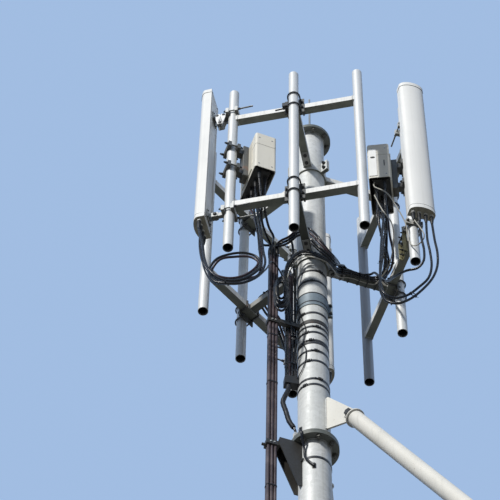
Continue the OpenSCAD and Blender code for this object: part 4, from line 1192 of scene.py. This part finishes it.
def cable_paths():
    """Every cable's path by name."""
    left, right, back = (partial(antenna_port, name) for name in ANTENNAS)
    near, far = (partial(radio_port, name) for name in RADIOS)
    leads = {
        # the connector that a lead leaves straight down, and its last points
        "left_a": (left(3), into(near(1))),
        "left_b": (left(2), into(near(2))),
        "left_c": (left(1), into(near(3))),
        "right_a": (right(3), into(far(1))),
        "right_b": (right(2), into(far(2))),
        "right_c": (right(1), down_mast(206, 0.019)),
        "back_0": (back(2), down_mast(199, 0.080)),
        "back_1": (back(1), down_mast(205, 0.058)),
        "back_2": (back(0), down_mast(200, 0.038)),
        "arm_a": (far(4), onto_feeder(0, 1, 0.070)),
        "arm_b": (far(0), onto_feeder(0, -1, 0.100)),
        "arm_c": (far(5), onto_feeder(1, 1, 0.050)),
        "tail_a": (near(0), onto_feeder(2, 1, 0.060)),
        "tail_b": (near(4), onto_feeder(1, -1, 0.140)),
        "tail_c": (near(5), onto_feeder(2, -1, 0.090)),
        "spare_a": (far(3), slack("spare_a") + down_mast(211.5, 0.025, COIL_FOOT)),
        "spare_b": (gland(2), slack("spare_b") + down_mast(211, 0.045, COIL_FOOT)),
        "power": (gland(3), down_mast(208.5, 0.085, (-0.100, -0.350))),
        "pale_a": (gland(1), down_mast(202.5, 0.070, (0.050, -0.350))),
        "pale_b": (gland(0), into(right(0))),
        "spare_left": (left(0), down_mast(197, 0.058, (0.080, -0.350))),
    }
    paths = {name: smooth([start, start - STRAIGHT] + lifted(name) + end)
             for name, (start, end) in leads.items()}
    paths["earth"] = smooth([by_mast(206, 0.068, BOX_LOW)] + lifted("earth", JOINTS[2])
                            + [by_mast(LUG_TURN, 0.029, LUG_TOP)])
    return paths


def make_cables(paths):
    """The frame's cables, each in place of its node, and then the ones that it leaves out."""
    node_of = {name: node for node, names in CABLE_NODES.items() for name in names}
    for name in sorted(paths, key=lambda name: name not in node_of):
        made = cable_piece("cable_" + name, paths[name], THIN_CABLES.get(name, CABLE_R),
                           SHEATHS.get(name, "cable_black"))
        if name in node_of:
            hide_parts(node_of[name])


def make_earth_conduit(path):
    """Ribbed conduit over the earth cable between the box and the lug."""
    radii = [0.0180 if i % 2 else 0.0165 for i in range(len(path) - 3)]
    cable_piece("earth_conduit", path[1:-2], radii, "conduit_black")


def round_mast(spots):
    """Curve through spots given as a turn about the mast, a radius and a height."""
    return smooth([turn_z(turn) @ Vector((r, 0, z)) for turn, r, z in spots])


def make_bond():
    """Bonding cable over the flange joint with a lug at each end; a wire on the mast."""
    cable_piece("bond_cable", round_mast(BOND), BOND_R)
    cable_piece("mast_wire", round_mast(MAST_WIRE), WIRE_R, sides=10)
    lugs = Form()
    for turn, _, z in (BOND[0], BOND[-1]):
        place = turn_z(turn) @ move(MAST_R - 0.001, 0, z)
        lugs.block((0.0, -0.012, -0.016), (0.005, 0.012, 0.034), place)
        lugs.bolt(place @ facing((0.005, 0, 0.022), (1, 0, 0)), 0.0, 0.010)
    piece("bond_lugs", lugs, "clamp_steel", "bolt_dark")


def spots_on(paths, shares):
    """Each named path with the number of its point at a share of its length."""
    return [(paths[name], round(share * (len(paths[name]) - 1)))
            for name, row in shares.items() for share in row]


def make_joint_sleeves(paths):
    """Taped joints in the leads beside the mast."""
    radii = [0.0100, 0.0155, 0.0165, 0.0150, 0.0165, 0.0155, 0.0100]
    reach = len(radii) // 2
    form = Form()
    for path, i in spots_on(paths, SLEEVES):
        form.sweep(path[i - reach:i + reach + 1], radii, 16)
    piece("joint_sleeves", form, "cable_black", "boot_black", 60)


def make_boots():
    """Sealed sleeves over the connectors and the joints to the feeders."""
    form = Form()
    sleeve = [(0.0125, 0), (0.0150, 0.003), (0.0150, 0.012), (0.0128, 0.016), (0.0150, 0.020),
              (0.0150, 0.028), (0.0128, 0.032), (0.0145, 0.036), (0.0135, 0.052),
              (0.0105, 0.078), (0.0092, 0.090)]
    joint = [(0.0115, -0.075), (0.0130, -0.070), (0.0130, -0.030), (0.0150, -0.026),
             (0.0150, 0.020), (0.0125, 0.024), (0.0125, 0.046), (0.0100, 0.056)]
    ports = [antenna_port(name, i) for name in ANTENNAS for i in range(len(PORT_ACROSS))]
    ports += [radio_port(name, i) for name in RADIOS for i in range(len(RADIO_PORTS))]
    for spot in ports:
        form.lathe(sleeve, 20, Matrix.Translation(spot) @ move(0, 0, 0.018) @ OVER)
    for i, j in product(range(3), SIDES):
        form.lathe(joint, 20, Matrix.Translation(feeder_top(i, j)))
    piece("cable_boots", form, "cable_black", "boot_black")


def hull(points):
    """Convex outline of points in a plane, in turning order."""
    points = sorted(points)
    made = []
    for row in (points, points[::-1]):
        part = []
        for p in row:
            while len(part) > 1 and ((part[-1][0] - part[-2][0]) * (p[1] - part[-2][1])
                                     - (part[-1][1] - part[-2][1])
                                     * (p[0] - part[-2][0])) <= 0:
                part.pop()
            part.append(p)
        made += part[:-1]
    return made


def tie(form, centres, along, radius, tail=0.018):
    """Flat band pulled tight round cables that run the same way."""
    along = along.normalized()
    side = along.cross(Vector((0.2, 0.1, 1.0))).normalized()
    other = along.cross(side)
    middle = sum(centres, Vector()) / len(centres)
    flat = [((c - middle).dot(side), (c - middle).dot(other)) for c in centres]
    r = radius + 0.0004
    inner = hull([(x + r * math.cos(a), y + r * math.sin(a)) for x, y in flat
                  for a in turns(24)])
    outer = [(x * (1 + TIE_T / math.hypot(x, y)), y * (1 + TIE_T / math.hypot(x, y)))
             for x, y in inner]
    loops = ((inner, -TIE_W / 2), (outer, -TIE_W / 2), (outer, TIE_W / 2), (inner, TIE_W / 2))
    form.rings([[middle + x * side + y * other + h * along for x, y in loop]
                for loop, h in loops], True)
    x, y = max(outer, key=lambda q: q[0])
    head = Matrix((side, other, along)).transposed().to_4x4()
    head.translation = middle + x * side + y * other
    form.block((-0.002, -0.004, -0.006), (0.005, 0.004, 0.006), head, 0.0008)
    form.block((0.001, 0.004, -0.002), (0.0025, 0.004 + tail, 0.002), head, 0.0004)


def tie_leads(form, paths):
    """Ties round each lead that is named and the cables close beside it."""
    for path, i in spots_on(paths, TIES):
        spot = path[i]
        along = (path[i + 1] - path[i - 1]).normalized()
        nearest = [min(other, key=lambda q: (q - spot).length) for other in paths.values()]
        close = [near for near in nearest if (near - spot).length < TIE_REACH]
        tie(form, [near - (near - spot).dot(along) * along for near in close], along, CABLE_R)


def tie_arm(form):
    """Ties round the right lower arm and the five cables on it."""
    half = RAIL_HALF - 0.0045
    along = on_arm(1, 0, 0) - on_arm(0, 0, 0)
    for i, r in enumerate(ARM_TIES):
        corners = [on_arm(r, s, ARM_UP + up) for s, up in product((-half, half), repeat=2)]
        cables = [on_arm(r, 0.042, ARM_UP + up) for up in (0.015, -0.007, -0.029)]
        cables += [on_arm(r, s, ARM_UP + 0.041) for s in (-0.022, 0.022)]
        tie(form, corners + cables, along, CABLE_R, 0.045 + 0.012 * (i % 3))


def tie_feeders(form):
    """Ties round the feeder run, clear of its clamps and knee brackets."""
    z = RUN_FOOT + 0.5
    while z < RUN_TOP - 0.15:
        if min(abs(z - h) for h in list(CLAMP_HEIGHTS) + KNEE_HEIGHTS) > 0.12:
            tops = [feeder_top(i, j) for i, j in product(range(3), SIDES)]
            tie(form, [Vector((top.x, top.y, z)) for top in tops], Vector((0, 0, 1)), FEEDER_R)
        z += TIE_STEP


def make_ties(paths):
    form = Form()
    tie_leads(form, paths)
    tie_arm(form)
    tie_feeders(form)
    piece("cable_ties", form, "cable_black", "tie_black")


def make_finishes():
    """Every finish by the name of the slot, the node or the pieces that it is for."""
    made = [
        # every zinc finish carries painted shade on its undersides, in its underside colour
        mast_zinc(),
        pipe_zinc("galvanised_pipe"),
        shaded_pipe_zinc(),
        zinc("galvanised_rail", (0.88, 0.88, 0.86), (0.76, 0.76, 0.73), (0.34, 0.33, 0.28),
             rust=0.35, metallic=0.12),
        zinc("bracket_steel", (0.70, 0.71, 0.69), (0.52, 0.53, 0.51), (0.20, 0.20, 0.17),
             rust=0.3, metallic=0.2, underside_shade=(0.12, 0.12, 0.10)),
        zinc("sleeve_steel", (0.26, 0.32, 0.37), (0.19, 0.24, 0.28), (0.12, 0.14, 0.15),
             metallic=0.2),
        zinc("lightning_rod", (0.34, 0.36, 0.38), (0.22, 0.24, 0.26), (0.12, 0.12, 0.11),
             metallic=0.4),
        zinc("feeder_brackets", (0.050, 0.046, 0.040), (0.034, 0.032, 0.028), (0.04, 0.03, 0.02),
             rust=0.5, metallic=0.2, underside_shade=(0.02, 0.018, 0.015)),
        zinc("lower_arms", (0.36, 0.35, 0.31), (0.27, 0.26, 0.23), (0.12, 0.11, 0.09),
             rust=0.5, metallic=0.12, underside_shade=(0.055, 0.06, 0.045)),
        zinc("yellow_zinc", (0.46, 0.43, 0.24), (0.34, 0.32, 0.19), (0.16, 0.13, 0.07),
             rust=0.6, metallic=0.2, spangle=120.0, underside_shade=(0.20, 0.19, 0.11)),
        zinc("bolt_zinc", (0.58, 0.59, 0.58), (0.42, 0.43, 0.42), (0.18, 0.17, 0.15),
             rust=0.5, metallic=0.5, spangle=160.0, underside_shade=(0.16, 0.15, 0.13)),
        zinc("bolt_worn", (0.15, 0.15, 0.13), (0.09, 0.09, 0.08), (0.06, 0.05, 0.04),
             rust=0.5, metallic=0.3, spangle=160.0, underside_shade=(0.07, 0.065, 0.05)),
        zinc("bolt_dark", (0.045, 0.045, 0.045), (0.030, 0.030, 0.030), (0.045, 0.032, 0.022),
             rust=0.5, metallic=0.3, spangle=160.0, underside_shade=(0.02, 0.018, 0.015)),
        clamp_zinc("clamp_steel"),
        radio_bracket("left"),
        radio_bracket("right"),
        paint("strut_paint", (0.80, 0.79, 0.74), (0.64, 0.63, 0.57), 0.42, chips=0.4),
        paint("radio_shell", (0.84, 0.82, 0.74), (0.74, 0.71, 0.63), 0.46, grain=260.0),
        paint("radio_body", (0.030, 0.030, 0.027), (0.060, 0.055, 0.045), 0.55),
        paint("strap_steel", (0.022, 0.022, 0.024), (0.06, 0.058, 0.055), 0.36),
        paint("cable_box", (0.016, 0.016, 0.016), (0.03, 0.029, 0.026), 0.5),
        radome(),
        rubber("cable_black", (0.007, 0.007, 0.008), (0.030, 0.028, 0.027), 0.24),
        rubber("feeder_run", (0.055, 0.038, 0.042), (0.20, 0.16, 0.17), 0.34, 0.5),
        rubber("seam_gasket", (0.06, 0.06, 0.06), (0.16, 0.15, 0.14), 0.6),
        rubber("cable_brown", (0.050, 0.030, 0.034), (0.13, 0.10, 0.105)),
        # pale sheath: a painted highlight, the sky's sheen on black cables
        rubber("cable_painted_sheen", (0.48, 0.47, 0.42), (0.36, 0.34, 0.29), 0.4),
        rubber("boot_black", (0.014, 0.014, 0.014), (0.060, 0.055, 0.05), 0.45),
        rubber("conduit_black", (0.008, 0.009, 0.011), (0.02, 0.02, 0.022), 0.5, 0.1),
        rubber("tie_black", (0.012, 0.012, 0.013), (0.05, 0.05, 0.05), 0.35),
    ]
    return {f.name: f for f in made}


def paint_nodes():
    """Gives every carried-over node its own finish, or the one of its material slot."""
    slot_of = {part["node"]: part["material_slot"] for part in frame["record"]["subparts"]}
    for node, made in frame["nodes"].items():
        made.data.materials.clear()
        look = finish.get(node, finish[slot_of[node]])
        made.data.materials.append(look.material)


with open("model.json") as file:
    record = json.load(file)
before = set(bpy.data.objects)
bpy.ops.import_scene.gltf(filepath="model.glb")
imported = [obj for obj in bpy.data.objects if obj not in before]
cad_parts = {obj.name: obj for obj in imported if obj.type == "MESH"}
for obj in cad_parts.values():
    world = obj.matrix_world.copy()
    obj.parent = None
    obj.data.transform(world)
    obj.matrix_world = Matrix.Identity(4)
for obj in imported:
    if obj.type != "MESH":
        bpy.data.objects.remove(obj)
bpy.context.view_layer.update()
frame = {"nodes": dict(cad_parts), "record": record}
bpy.context.scene.view_settings.view_transform = "Standard"
make_camera()
make_light()
make_floor()
finish = make_finishes()
paint_nodes()
make_arm_bolts()
make_end_plate()
make_flange_bolts()
make_clamp_bolts()
make_strut_pins()
make_u_bolts()
make_antenna_fasteners()
make_radio_nuts()
make_feeder_bolts()
make_welds()
make_strap_buckles()
make_sleeve_bands()
make_antenna_trim()
make_radio_trim()
cables = cable_paths()
make_cables(cables)
make_earth_conduit(cables["earth"])
make_bond()
make_joint_sleeves(cables)
make_boots()
make_ties(cables)
